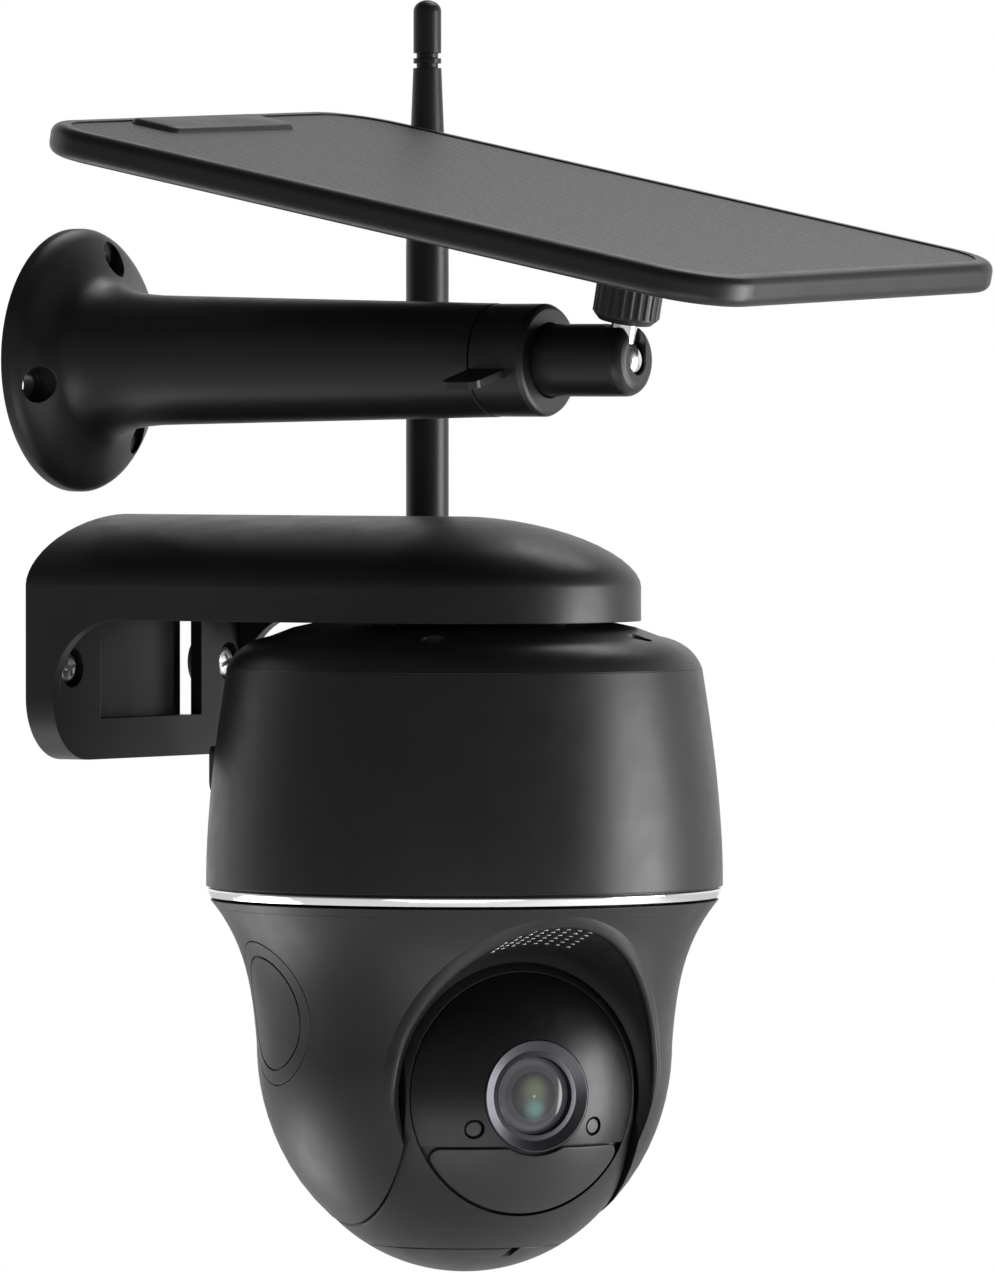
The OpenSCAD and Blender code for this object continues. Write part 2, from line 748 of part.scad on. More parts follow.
module antenna_mount() {
    start = housing_at(antenna_hinge_z) - housing_wall - 1.6;
    seat = housing_at(antenna_hinge_z + mount_r) - 1;
    color(satin_black) difference() {
        union() {
            through_wall() {
                translate([0, 0, start]) cylinder(r = 3, h = mount_face - start);
                translate([0, 0, start - 1.2]) cylinder(r = 4.2, h = 1.2 + eps);
            }
            // round foot that follows the housing's side
            difference() {
                through_wall() translate([0, 0, seat]) cylinder(r = mount_r, h = mount_face - seat);
                at_camera() housing_solid(-running, seam_z, housing_low);
            }
        }
        through_wall() translate([0, 0, start - 3])
            cylinder(r = spindle_r + running, h = mount_face - start + 4);
    }
}

module antenna_knuckle() {
    start = housing_at(antenna_hinge_z) - housing_wall - 1.6;
    color(satin_black) housing_side(antenna_angle, antenna_hinge_z) difference() {
        union() {
            rotate([0, 90, 0]) translate([0, 0, start]) cylinder(r = spindle_r, h = knuckle_in - start + 1);
            rotate([0, 90, 0]) translate([0, 0, knuckle_in]) cylinder(r = 4.2, h = 1);
            for (s = [-1, 1]) translate([0, s * (ear_in + ear_t / 2), 0]) rotate([90, 0, 0])
                translate([0, 0, -ear_t / 2]) linear_extrude(ear_t) {
                    translate([antenna_reach, 0]) circle(r = 3.2);
                    translate([knuckle_in + 0.2, -3.2]) square([antenna_reach - knuckle_in - 0.2, 6.4]);
                }
        }
        translate([antenna_reach, 10, 0]) rotate([90, 0, 0]) cylinder(r = antenna_pin_r, h = 20);
    }
}

module antenna_pin() {
    color(steel) on_antenna() rotate([90, 0, 0])
        translate([0, 0, -ear_in - ear_t]) cylinder(r = antenna_pin_r, h = 2 * (ear_in + ear_t));
}

taper_start = 80.9 - antenna_hinge_z;
taper_end = antenna_tip_z - 13.2 - antenna_hinge_z;
module antenna_sleeve() {
    tongue = ear_in - loose;
    shoulder = 6.2;
    r = antenna_d / 2;
    tip_r = antenna_tip_d / 2;
    color(satin_black) on_antenna() difference() {
        union() {
            rotate_extrude() polygon([
                [0, shoulder], [r - 0.8, shoulder], [r, shoulder + 0.8], [r, taper_start],
                [tip_r + 0.05, taper_end], [0, taper_end]]);
            translate([0, 0, taper_end - eps]) cylinder(r = tip_r - 0.6, h = 0.9 + 2 * eps);
            translate([0, 0, taper_end + 0.9]) cylinder(r = tip_r, h = 1);
            translate([0, 0, taper_end + 1.9 - eps]) cylinder(r = tip_r - 0.6, h = 1 + eps);
            rotate([90, 0, 0]) translate([0, 0, -tongue]) cylinder(r = 3.1, h = 2 * tongue);
            translate([-3.1, -tongue, 0]) cube([6.2, 2 * tongue, shoulder + 1]);
        }
        rotate([90, 0, 0]) translate([0, 0, -10]) cylinder(r = antenna_pin_r + running, h = 20);
    }
}

module antenna_tip() {
    r = antenna_tip_d / 2;
    low = taper_end + 2.9;
    high = antenna_tip_z - antenna_hinge_z;
    color(satin_black) on_antenna() rotate_extrude() polygon(concat(
        [[0, low], [r, low]],
        [for (i = [0:6]) let (a = 15 * i) [r * cos(a), high - r * 0.8 + r * 0.8 * sin(a)]]));
}

// ---- pan shell ----

function shell_pts(inset, top, low) =
    let (n = 2 * curve_steps)
    [for (i = [0:n]) let (z = top + (low - top) * (1 - cos(90 * i / n)) * 0.55 + (low - top) * 0.45 * i / n)
        [max(0.01, shell_at(z) - inset), z]];

shell_low = waist_up - bowl_depth;
module shell_solid(inset, top, low) {
    rotate(50) rotate_extrude() polygon(concat([[0, top]], shell_pts(inset, top, low), [[0, low]]));
}

// Space swept by the tilting head, between the flat cheeks
module head_space(extra) {
    intersection() {
        sphere(r = cavity_r + extra, $fn = 128);
        translate([-cheek_in - extra, -60, -60]) cube([2 * (cheek_in + extra), 120, 120]);
    }
}

// Flared funnel of the brow, opened out in front of the head
module brow_funnel(extra) {
    far = 52;
    near = bend([lip_r, lip_depth], [lip_r + 2.2, lip_depth + 1.6], [brow_r, brow_depth], 4);
    lens_axis() rotate(-90) rotate_extrude() polygon(concat(
        [[0, lip_depth - 6], [lip_r + extra, lip_depth - 6]],
        [for (p = near) [p[0] + extra, p[1]]],
        [[brow_at(far) + extra, far], [0, far]]));
}

module cover_area(r, side) {
    translate([0, 0, tilt_centres]) tilt_axis(side) cylinder(r = r, h = 60);
}

// Band of the brow's funnel that the grille fills
grille_half_angle = 24;
grille_near = brow_depth + 1;
grille_far = brow_depth + 13.5;
module grille_band(play, inner, outer) {
    near = grille_near - play;
    far = grille_far + play;
    half = grille_half_angle + play * 2;
    lens_axis() rotate(90 - half) rotate_extrude(angle = 2 * half) polygon([
        [brow_at(near) + inner, near], [brow_at(far) + inner, far],
        [brow_at(far) + outer, far], [brow_at(near) + outer, near]]);
}

module pan_shell() {
    top = shell_rise;
    color(satin_black) at_tilt() difference() {
        union() {
            difference() {
                shell_solid(0, top, shell_low);
                shell_solid(shell_wall, top + eps, shell_low + shell_wall);
            }
            // ledge that the deck rests on
            translate([0, 0, top - 1.6]) tube(shell_top_r - 1.2, ring_inner_r - 3.4, 1.6);
            intersection() {
                shell_solid(1, top, shell_low + 1);
                union() {
                    head_space(cup_wall);
                    for (s = [-1, 1]) translate([s * (cheek_in + cheek_t / 2) - cheek_t / 2, -50, -50])
                        cube([cheek_t, 100, 76]);
                    difference() {
                        brow_funnel(brow_wall);
                        translate([-50, -60, -60]) cube([100, 120, 60]);
                    }
                    intersection() {
                        rotate([-90, 0, 0]) cylinder(r = lip_r + cup_wall, h = 50);
                        translate([-cheek_in - cheek_t, 0, 0]) cube([2 * (cheek_in + cheek_t), 60, 60]);
                    }
                }
            }
            // posts for the tilt motor
            for (s = [-1, 1]) translate([-cheek_in - cheek_t + eps, s * 7.6, tilt_centres])
                tilt_axis(-1) cylinder(r = 1.8, h = tilt_motor_in - cheek_in - cheek_t);
        }
        head_space(0);
        brow_funnel(0);
        translate([-cheek_in, -60, -60]) cube([2 * cheek_in, 120, 60]);
        rotate([-90, 0, 0]) cylinder(r = lip_r, h = 60);
        for (s = [-1, 1]) {
            tilt_axis(s) cylinder(r = tilt_shaft_r + 1.6, h = cheek_in + cheek_t + 1);
            intersection() {
                difference() {
                    shell_solid(-2, top - 2, -20);
                    shell_solid(cover_t + 0.05, top, -24);
                }
                cover_area(cover_d / 2 + 0.2, s);
            }
        }
        cylinder(r = 9, h = 60);
        grille_band(0.15, -2, pocket_t);
        grille_band(-2.5, -2, 8);
    }
}

module side_covers() {
    color(satin_black) at_tilt() for (s = [-1, 1]) intersection() {
        difference() {
            shell_solid(0, shell_rise - 2, -20);
            shell_solid(cover_t, shell_rise, -24);
            difference() {
                cover_area(cover_d / 2 - 2.6, s);
                cover_area(cover_d / 2 - 3, s);
                shell_solid(0.5, shell_rise, -24);
            }
        }
        cover_area(cover_d / 2, s);
    }
}

module pan_deck() {
    hub_top = pan_gear_low + gear_t + 1.2;
    color(satin_black) facing() difference() {
        union() {
            translate([0, 0, shell_top]) cylinder(r = ring_inner_r - loose, h = deck_top - shell_top);
            translate([0, 0, shell_top]) cylinder(r = pan_hub_r, h = hub_top - shell_top);
        }
        translate([0, 0, shell_top - 1]) cylinder(r = 4.5, h = 30);
        translate([0, 0, tilt_z]) sphere(r = cavity_r, $fn = 128);
    }
}

module pan_gear() {
    color(white_plastic) at_camera() rotate(pan_motor_angle) translate([0, 0, pan_gear_low])
        difference() {
            linear_extrude(gear_t) polygon(gear_outline(pan_gear_teeth, pan_module));
            translate([0, 0, -1]) cylinder(r = pan_hub_r + running, h = gear_t + 2);
        }
}

module pan_clip() {
    color(steel) facing() translate([0, 0, pan_gear_low + gear_t])
        tube(pan_hub_r + 2.4, pan_hub_r + running, 0.8);
}

module tilt_bushes() {
    color(brass) at_tilt() for (s = [-1, 1]) tilt_axis(s) difference() {
        union() {
            translate([0, 0, cheek_in]) cylinder(r = tilt_shaft_r + 1.55, h = cheek_t);
            translate([0, 0, cheek_in + cheek_t]) cylinder(r = tilt_shaft_r + 2.4, h = 0.6);
        }
        cylinder(r = tilt_shaft_r + running, h = 40);
    }
}

module tilt_motor() {
    color(steel) at_tilt() translate([0, 0, tilt_centres]) tilt_axis(-1) difference() {
        translate([0, 0, tilt_motor_in]) cylinder(r = tilt_motor_r, h = tilt_motor_t);
        cylinder(r = 1 + running, h = tilt_motor_in + 3.4);
    }
}

module tilt_pinion() {
    color(brass) at_tilt() translate([0, 0, tilt_centres]) tilt_axis(-1) {
        translate([0, 0, tilt_gear_in]) linear_extrude(tilt_gear_t + 0.3)
            polygon(gear_outline(tilt_pinion_teeth, tilt_module));
        translate([0, 0, tilt_gear_in]) cylinder(r = 1, h = tilt_motor_in + 3 - tilt_gear_in);
    }
}

module speaker() {
    color(rubber) at_tilt() intersection() {
        grille_band(-1, brow_wall + running, brow_wall + 2);
        translate([-8, -60, 0]) cube([16, 60, shell_rise - 1.7]);
    }
}

module speaker_grille() {
    rows = 5;
    pitch = 2.3;
    color(satin_black) at_tilt() difference() {
        grille_band(0, 0, pocket_t - 0.1);
        for (row = [0:rows - 1], k = [-3:3]) {
            depth = (grille_near + grille_far) / 2 + (row - (rows - 1) / 2) * pitch * 0.87;
            shift = (row % 2) * 0.5 * pitch + k * pitch;
            if (abs(shift) < 8.2)
                translate([0, -depth, 0]) rotate([0, atan(shift / brow_at(depth)), 0])
                    translate([0, 0, brow_at(depth) - 2]) cylinder(r = 0.55, h = 5, $fn = 24);
        }
    }
}

// ---- tilting head ----

module head_ball(r, half) {
    intersection() {
        rotate([0, 90, 0]) sphere(r = r, $fn = 128);
        translate([-half, -60, -60]) cube([2 * half, 120, 120]);
    }
}

module head_shell() {
    difference() {
        head_ball(head_r, head_half);
        head_ball(head_r - head_wall, head_half - head_wall);
        translate([-60, -60, -60 - lid_drop]) cube([120, 120, 60]);
    }
}

module head_front() {
    color(satin_black) at_tilt() difference() {
        union() {
            difference() {
                head_shell();
                translate([-60, split_y, -60]) cube([120, 120, 120]);
                lens_axis() translate([0, 0, 10]) cylinder(r = face_r + 0.15, h = 60);
            }
            // ledge behind the face
            intersection() {
                difference() {
                    head_ball(head_r - head_wall - 0.05, head_half - 0.5);
                    sphere(r = head_r - head_wall - 1.4, $fn = 128);
                }
                lens_axis() translate([0, 0, 20]) tube(face_r + 1.6, face_r - 2, 20);
            }
        }
        for (s = [-1, 1]) tilt_axis(s) cylinder(r = tilt_shaft_r + 0.02, h = 40);
    }
}

module head_rear() {
    color(satin_black) at_tilt() difference() {
        head_shell();
        translate([-60, -120 + split_y, -60]) cube([120, 120, 120]);
    }
}

module head_lid() {
    color(satin_black) at_tilt() difference() {
        head_ball(head_r, head_half);
        sphere(r = head_r - head_wall, $fn = 128);
        translate([-60, -60, -lid_drop]) cube([120, 120, 120]);
        // narrow slanted catch slot in the lid's front edge
        translate([2.4, 0.8 - lid_r, -lid_drop]) rotate([0, 28, 0]) cube([1.6, 5, 5], center = true);
        difference() {
            translate([0, 0, -lid_drop - 0.35]) cylinder(r = 30, h = 1);
            translate([0, 0, -lid_drop - 1]) cylinder(r = lid_r - 0.5, h = 2);
        }
    }
}

module face_cap() {
    difference() {
        sphere(r = head_r, $fn = 128);
        sphere(r = head_r - head_wall, $fn = 128);
    }
}

module below_edge(drop) {
    translate([-60, -60, -60 - drop]) cube([120, 60, 60]);
}

pip_x = 12.2;
pip_drop = 6;
module pips(r) {
    for (s = [-1, 1]) translate([s * pip_x, 0, -pip_drop]) lens_axis() cylinder(r = r, h = 60);
}

module face_panel() {
    color(gloss_black) at_tilt() difference() {
        intersection() {
            face_cap();
            lens_axis() cylinder(r = face_r, h = 60);
        }
        lens_axis() cylinder(r = bezel_r + 0.1, h = 60);
        pips(pip_r + 0.1);
        below_edge(window_drop);
    }
}

module lower_window() {
    color(dark_grey) at_tilt() difference() {
        intersection() {
            face_cap();
            lens_axis() cylinder(r = face_r, h = 60);
            below_edge(window_drop + 0.3);
        }
        lens_axis() cylinder(r = bezel_r + 0.7, h = 60);
    }
}

module small_windows() {
    color(gloss_black) at_tilt() intersection() {
        difference() {
            sphere(r = head_r - 0.15, $fn = 128);
            sphere(r = head_r - head_wall, $fn = 128);
        }
        pips(pip_r);
    }
}

bezel_front = head_r - 1.4;
bezel_back = bezel_front - 6.6;
lens_seat = bezel_front - 2.6;
sensor_depth = 8;
sensor_t = 1.4;
barrel_r = 7;
module lens_bezel() {
    color(satin_black) at_tilt() lens_axis() rotate_extrude() polygon([
        [glass_r + 0.1, bezel_back], [bezel_r, bezel_back], [bezel_r, bezel_front - 0.8],
        [bezel_r - 0.4, bezel_front - 0.3],
        [bezel_r - 1, bezel_front], [glass_r + 0.3, lens_seat], [glass_r + 0.1, lens_seat - 0.4]]);
}

module lens_barrel() {
    color(satin_black) at_tilt() lens_axis() rotate_extrude() polygon([
        [0, sensor_depth + sensor_t], [barrel_r, sensor_depth + sensor_t], [barrel_r, sensor_depth + 5],
        [glass_r, sensor_depth + 5], [glass_r, lens_seat - 1.3],
        [6.4, lens_seat - 1.3], [5.6, lens_seat - 3], [4.6, lens_seat - 3], [4.2, lens_seat - 6],
        [0, lens_seat - 6]]);
}

module lens_glass() {
    cap_h = 1.1;
    dome_r = (glass_r * glass_r + cap_h * cap_h) / (2 * cap_h);
    color("#314034") at_tilt() lens_axis() intersection() {
        translate([0, 0, lens_seat - 1.2]) cylinder(r = glass_r, h = 3);
        translate([0, 0, lens_seat + cap_h - 0.4 - dome_r]) sphere(r = dome_r, $fn = 128);
    }
}

module sensor_board() {
    color(board_green) at_tilt() lens_axis() translate([-2 * barrel_r, -1.6 * barrel_r, sensor_depth])
        cube([4 * barrel_r, 3.2 * barrel_r, sensor_t]);
}

module tilt_shafts() {
    color(steel) at_tilt() {
        tilt_axis(1) translate([0, 0, head_half - head_wall])
            cylinder(r = tilt_shaft_r, h = cheek_in + cheek_t + 1 - head_half + head_wall);
        tilt_axis(-1) translate([0, 0, head_half - head_wall])
            cylinder(r = tilt_shaft_r, h = tilt_gear_in + tilt_gear_t - head_half + head_wall);
    }
}

module tilt_gear() {
    color(white_plastic) at_tilt() tilt_axis(-1) translate([0, 0, tilt_gear_in]) difference() {
        linear_extrude(tilt_gear_t) polygon(gear_outline(tilt_gear_teeth, tilt_module));
        translate([0, 0, -1]) cylinder(r = tilt_shaft_r + 0.02, h = tilt_gear_t + 2);
    }
}

// ---- solar arm ----

module solar_arm() {
    flange_face = 6;
    root = 20;
    color(satin_black) at_arm() difference() {
        union() {
            rotate_extrude() polygon(concat(
                [[0, 0], [flange_r, 0], [flange_r, 1.6]],
                bend([flange_r - 0.3, 2.2], [flange_r - 0.8, 3], [flange_r - 2, 3.6], 2),
                [[flange_hole_circle - 2, flange_face]],
                bend([tube_root_r + 4, flange_face + 1], [tube_root_r + 0.6, flange_face + 2.5],
                    [tube_root_r, root], 6),
                [[tube_end_r, tube_len], [spigot_r, tube_len], [spigot_r, tube_len + spigot_len],
                    [0, tube_len + spigot_len]]));
        }
        translate([0, 0, tube_len - socket_sunk - 6]) cylinder(r = arm_bore_r, h = socket_sunk + 20);
        translate([0, 0, -1]) cylinder(r = tube_end_r - 2.4, h = tube_len - socket_sunk - 10);
        ring_of(3, 73.4) translate([flange_hole_circle, 0, 0]) {
            translate([0, 0, -1]) cylinder(r = flange_hole_r, h = 20);
            translate([0, 0, 2.4]) cylinder(r = flange_hole_r + 1.4, h = 20);
        }
    }
}

module lock_collar() {
    low = tube_len + loose;
    high = tube_len + collar_len;
    lip = tube_len + spigot_len + loose;
    color(satin_black) at_arm() {
        rotate_extrude() polygon([
            [spigot_r + loose, low], [collar_r, low], [collar_r, high - 1], [collar_r - 0.4, high - 0.3],
            [collar_r - 1, high], [socket_r + loose, high], [socket_r + loose, lip],
            [spigot_r + loose, lip]]);
        rotate(193) translate([collar_r - 0.8, -0.75, low]) difference() {
            rotate([-90, 0, 0]) mirror([0, 1, 0]) linear_extrude(1.5) {
                translate([0, 0]) square([9, 8]);
                translate([0, 2]) square([11.5, 4]);
                for (y = [2, 6]) translate([9.5, y]) circle(r = 2);
            }
        }
    }
}

module socket_tube() {
    back = tube_len - socket_sunk;
    round_r = 2.6;
    color(satin_black) difference() {
        at_arm() rotate_extrude() polygon(concat(
            [[0, back], [socket_r, back], [socket_r, socket_end - round_r]],
            [for (i = [1:6]) let (a = 15 * i)
                [socket_r - round_r + round_r * cos(a), socket_end - round_r + round_r * sin(a)]],
            [[0, socket_end]]));
        at_arm() translate([0, 0, back - 1]) cylinder(r = socket_r - 2, h = ball_reach - back - 8);
        at_ball() {
            rotate([0, 90, 0]) sphere(r = ball_r + loose, $fn = 64);
            // slot that lets the stem swing from upright to straight out
            translate([-slot_half, -20, 0]) cube([2 * slot_half, 20, 12]);
            cylinder(r = slot_half, h = 12);
            rotate([90, 0, 0]) cylinder(r = slot_half, h = 12);
        }
    }
}

module ball_stud() {
    color(chrome) on_stem() union() {
        rotate([0, 90, 0]) sphere(r = ball_r, $fn = 64);
        cylinder(r = stem_r, h = panel_lift + 2.4);
    }
}

module jam_nut() {
    color(satin_black) on_stem() difference() {
        union() {
            rotate_extrude() polygon([
                [0, nut_low], [nut_r - 1.4, nut_low], [nut_r - 0.3, nut_low + 1.1], [nut_r - 0.3, nut_high],
                [0, nut_high]]);
            ring_of(24, 7.5) translate([nut_r - 0.5, 0, nut_low + 1.4])
                cylinder(r = 0.5, h = nut_high - nut_low - 1.7, $fn = 16);
        }
        translate([0, 0, nut_low - 1]) cylinder(r = stem_r + loose, h = 10);
    }
}

// ---- solar panel ----

// Section of the panel's edge, from its corner's centre out to the rounded rim
module rim_section() {
    e = panel_edge_r;
    square([panel_corner_r - e, panel_t]);
    translate([0, e]) square([panel_corner_r, panel_t - 2 * e]);
    for (z = [e, panel_t - e]) translate([panel_corner_r - e, z]) circle(r = e);
}

module panel_blank() {
    x = panel_w / 2 - panel_corner_r;
    y = panel_len / 2 - panel_corner_r;
    translate([-x, -y, 0]) cube([2 * x, 2 * y, panel_t]);
    for (q = [[1, 1, 0], [-1, 1, 90], [-1, -1, 180], [1, -1, 270]]) {
        translate([q[0] * x, q[1] * y, 0]) rotate(q[2]) rotate_extrude(angle = 90) rim_section();
    }
    for (s = [-1, 1]) {
        translate([s * x, s * y, 0]) rotate([90, 0, s > 0 ? 0 : 180]) linear_extrude(2 * y) rim_section();
        translate([-s * x, s * y, 0]) rotate([90, 0, s > 0 ? 90 : 270]) linear_extrude(2 * x) rim_section();
    }
}

module panel_tray() {
    boss_low = nut_high + loose - panel_lift;
    color(satin_black) on_panel() difference() {
        union() {
            panel_blank();
            // threaded boss that the stem screws into
            translate([0, -panel_shift, boss_low]) {
                cylinder(r = boss_top_r, h = 1 - boss_low);
                translate([0, 0, -boss_low - 1.2]) cylinder(r = boss_top_r + 2.5, h = 1.2 + eps);
            }
        }
        translate([0, 0, panel_t - pocket_depth]) linear_extrude(pocket_depth + 1)
            round_rect(panel_w - 2 * panel_rim, panel_len - 2 * panel_rim, panel_corner_r - panel_rim + 0.4);
        translate([0, -panel_shift, boss_low - 1]) cylinder(r = stem_r + running, h = 3.7 - boss_low);
    }
}

module solar_laminate() {
    color(dark_grey) on_panel() translate([0, 0, panel_t - pocket_depth]) linear_extrude(laminate_t)
        round_rect(panel_w - 2 * panel_rim - 2 * seated, panel_len - 2 * panel_rim - 2 * seated,
            panel_corner_r - panel_rim);
}

module panel_plaque() {
    plaque_l = 54;
    plaque_w = 12;
    top = 0.8;
    color(satin_black) on_panel() translate([0, panel_len / 2 - panel_rim - plaque_w / 2 - 0.4, panel_t - pocket_depth + laminate_t])
        linear_extrude(pocket_depth - laminate_t + top) round_rect(plaque_l, plaque_w, 2.5);
}

module cable_gland() {
    color(satin_black) on_panel() translate([panel_w / 2 - 17, 36, -3]) difference() {
        union() {
            translate([0, 0, 1.4]) cylinder(r = 5, h = 1.6);
            cylinder(r = 3.6, h = 2);
        }
        translate([0, 0, -1]) cylinder(r = 1.8, h = 3);
    }
}

wall_bracket();
bracket_screws();
lock_ring();
lock_ring_screws();
solar_arm();
top_cap();
cap_screws();
cap_seal();
upper_housing();
trim_ring();
base_plate();
pan_washer();
pan_motor();
main_board();
battery_tray();
battery_cells();
usb_socket();
switch_block();
antenna_mount();
power_switch();
port_plug();
antenna_knuckle();
antenna_pin();
antenna_sleeve();
antenna_tip();
pan_pinion();
pan_shell();
pan_deck();
pan_gear();
pan_clip();
side_covers();
tilt_bushes();
tilt_motor();
speaker();
speaker_grille();
tilt_pinion();
head_front();
head_rear();
head_lid();
face_panel();
lower_window();
small_windows();
lens_bezel();
lens_barrel();
lens_glass();
sensor_board();
tilt_shafts();
tilt_gear();
lock_collar();
socket_tube();
ball_stud();
jam_nut();
panel_tray();
solar_laminate();
panel_plaque();
cable_gland();
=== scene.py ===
"""Battery-powered pan and tilt security camera on its wall bracket, with a folding
antenna and a small solar panel: finishes, moulded surfaces and fittings, all made
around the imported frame. Shapes are worked out in millimetres and stored in metres."""

import json
import math

import bmesh
import bpy
import numpy as np
from bpy.props import FloatProperty, FloatVectorProperty, PointerProperty
from mathutils import Matrix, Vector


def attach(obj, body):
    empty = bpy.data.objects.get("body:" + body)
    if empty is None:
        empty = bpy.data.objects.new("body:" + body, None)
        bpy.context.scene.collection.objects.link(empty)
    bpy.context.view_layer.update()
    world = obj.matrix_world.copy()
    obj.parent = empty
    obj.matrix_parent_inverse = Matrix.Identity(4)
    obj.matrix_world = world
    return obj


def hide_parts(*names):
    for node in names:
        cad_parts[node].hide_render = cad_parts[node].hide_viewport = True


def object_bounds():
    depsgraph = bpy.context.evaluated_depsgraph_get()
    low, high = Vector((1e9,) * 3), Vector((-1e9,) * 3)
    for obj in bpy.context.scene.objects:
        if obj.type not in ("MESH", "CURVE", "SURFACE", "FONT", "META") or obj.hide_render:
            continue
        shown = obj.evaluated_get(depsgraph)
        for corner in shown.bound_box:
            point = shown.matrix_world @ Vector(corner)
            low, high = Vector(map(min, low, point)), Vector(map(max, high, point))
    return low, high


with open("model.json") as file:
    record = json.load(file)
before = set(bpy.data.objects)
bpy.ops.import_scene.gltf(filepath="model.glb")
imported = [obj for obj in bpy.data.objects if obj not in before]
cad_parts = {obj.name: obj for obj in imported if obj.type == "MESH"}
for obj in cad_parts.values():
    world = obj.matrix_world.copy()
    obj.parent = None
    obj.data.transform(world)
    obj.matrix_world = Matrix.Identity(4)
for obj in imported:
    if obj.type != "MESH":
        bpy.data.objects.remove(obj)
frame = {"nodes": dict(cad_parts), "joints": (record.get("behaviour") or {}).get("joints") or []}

bl_info = {
    "name": "Security camera dressing",
    "version": (1, 0, 0),
    "blender": (4, 5, 0),
    "location": "3D View > Sidebar > Camera",
    "description": "Builds the finishes and moulded surfaces of a pan and tilt security camera",
    "category": "Add Mesh",
}

MM = 0.001
CAD_BOX = [list(corner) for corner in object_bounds()]
JOINTS = {joint["name"]: joint for joint in frame["joints"]}


# ---- places ----

def pivot(joint):
    """Point on a joint's axis, in millimetres."""
    return np.array(JOINTS[joint]["pos_m"]) / MM


def frame_on(origin, x_axis, z_axis):
    """Place with that origin, local X near x_axis and local Z along z_axis."""
    z = np.array(z_axis) / np.linalg.norm(z_axis)
    y = np.cross(z, x_axis)
    y /= np.linalg.norm(y)
    matrix = np.eye(4)
    matrix[:3, :4] = np.column_stack([np.cross(y, z), y, z, origin])
    return matrix


def points_in(node, place):
    """A CAD node's points in the local frame of a place, in millimetres."""
    mesh = frame["nodes"][node].data
    points = np.empty(len(mesh.vertices) * 3, np.float32)
    mesh.vertices.foreach_get("co", points)
    points = points.reshape(-1, 3) / MM
    inverse = np.linalg.inv(place)
    return points @ inverse[:3, :3].T + inverse[:3, 3]


def extent(node, place):
    """Lowest and highest corner of a CAD node in a place's own frame, in millimetres."""
    points = points_in(node, place)
    return points.min(0), points.max(0)


def reach(node, place):
    """Largest distance of a CAD node's points from a place's local Z axis."""
    points = points_in(node, place)
    return float(np.hypot(points[:, 0], points[:, 1]).max())


Z_AXIS = (0, 0, 1)
TILT_AXIS = np.array(JOINTS["tilt"]["axis"])
CAMERA = frame_on(pivot("pan"), (1, 0, 0), Z_AXIS)
LENS = frame_on(pivot("tilt"), -TILT_AXIS, np.cross(Z_AXIS, TILT_AXIS))
STEM = frame_on(pivot("stem_swing"), JOINTS["stem_swing"]["axis"], JOINTS["panel_spin"]["axis"])


# ---- surfaces ----

def turned(profile, steps=128):
    """Grid of points of a profile turned about local Z. Each profile point (r, h) goes
    to (r cos a, r sin a, h) for every angle a of a full turn, the last one left out."""
    profile = np.asarray(profile, float)
    angles = np.linspace(0, 2 * math.pi, steps, endpoint=False)
    r, h = profile[:, :1], profile[:, 1:]
    return np.stack([r * np.cos(angles), r * np.sin(angles), h + 0 * angles], -1)


def rounded(corners, radii, steps=5):
    """Path through the corners, each rounded by an arc of its own radius. The arc
    touches both sides at r tan(half the turn) from the corner; 0 keeps it sharp."""
    corners = [np.array(c, float) for c in corners]
    path = [corners[0]]
    for before, corner, after, r in zip(corners, corners[1:], corners[2:], radii):
        u = (before - corner) / np.linalg.norm(before - corner)
        v = (after - corner) / np.linalg.norm(after - corner)
        half = math.acos(np.clip(u @ v, -1, 1)) / 2
        if r <= 0 or half > math.radians(89.5):
            path.append(corner)
            continue
        centre = corner + (u + v) / np.linalg.norm(u + v) * r / math.sin(half)
        reach_back = r / math.tan(half)
        a, b = corner + u * reach_back - centre, corner + v * reach_back - centre
        turn = math.acos(np.clip(a @ b / r ** 2, -1, 1))
        t = np.linspace(0, 1, steps + 1)[:, None]
        path.extend(centre + (a * np.sin((1 - t) * turn) + b * np.sin(t * turn)) / math.sin(turn))
    path.append(corners[-1])
    return np.array(path)


def bulged(wide, deep, corner, rise):
    """Lid of a rounded rectangle, as closed rings from its foot to its middle. Each
    ring is the outline drawn in by (1 - cos t) of the rise and lifted by sin t of it,
    for t up to 90 degrees; the last ring closes on the middle line."""
    t = np.linspace(0, math.pi / 2, 6)
    corners = ((1, 1), (-1, 1), (-1, -1), (1, -1))
    draws = np.append(rise * (1 - np.cos(t)), min(wide, deep) / 2 - 0.01)
    lifts = np.append(rise * np.sin(t), rise)
    rings = []
    for draw, lift in zip(draws, lifts):
        r = max(corner - draw, 0.02)
        x, y = wide / 2 - draw - r, deep / 2 - draw - r
        angles = [t + k * math.pi / 2 for k in range(4)]
        ring = np.concatenate([np.column_stack([sx * x + r * np.cos(a), sy * y + r * np.sin(a)])
                               for (sx, sy), a in zip(corners, angles)])
        rings.append(np.column_stack([ring, np.full(len(ring), lift)]))
    return np.array(rings)


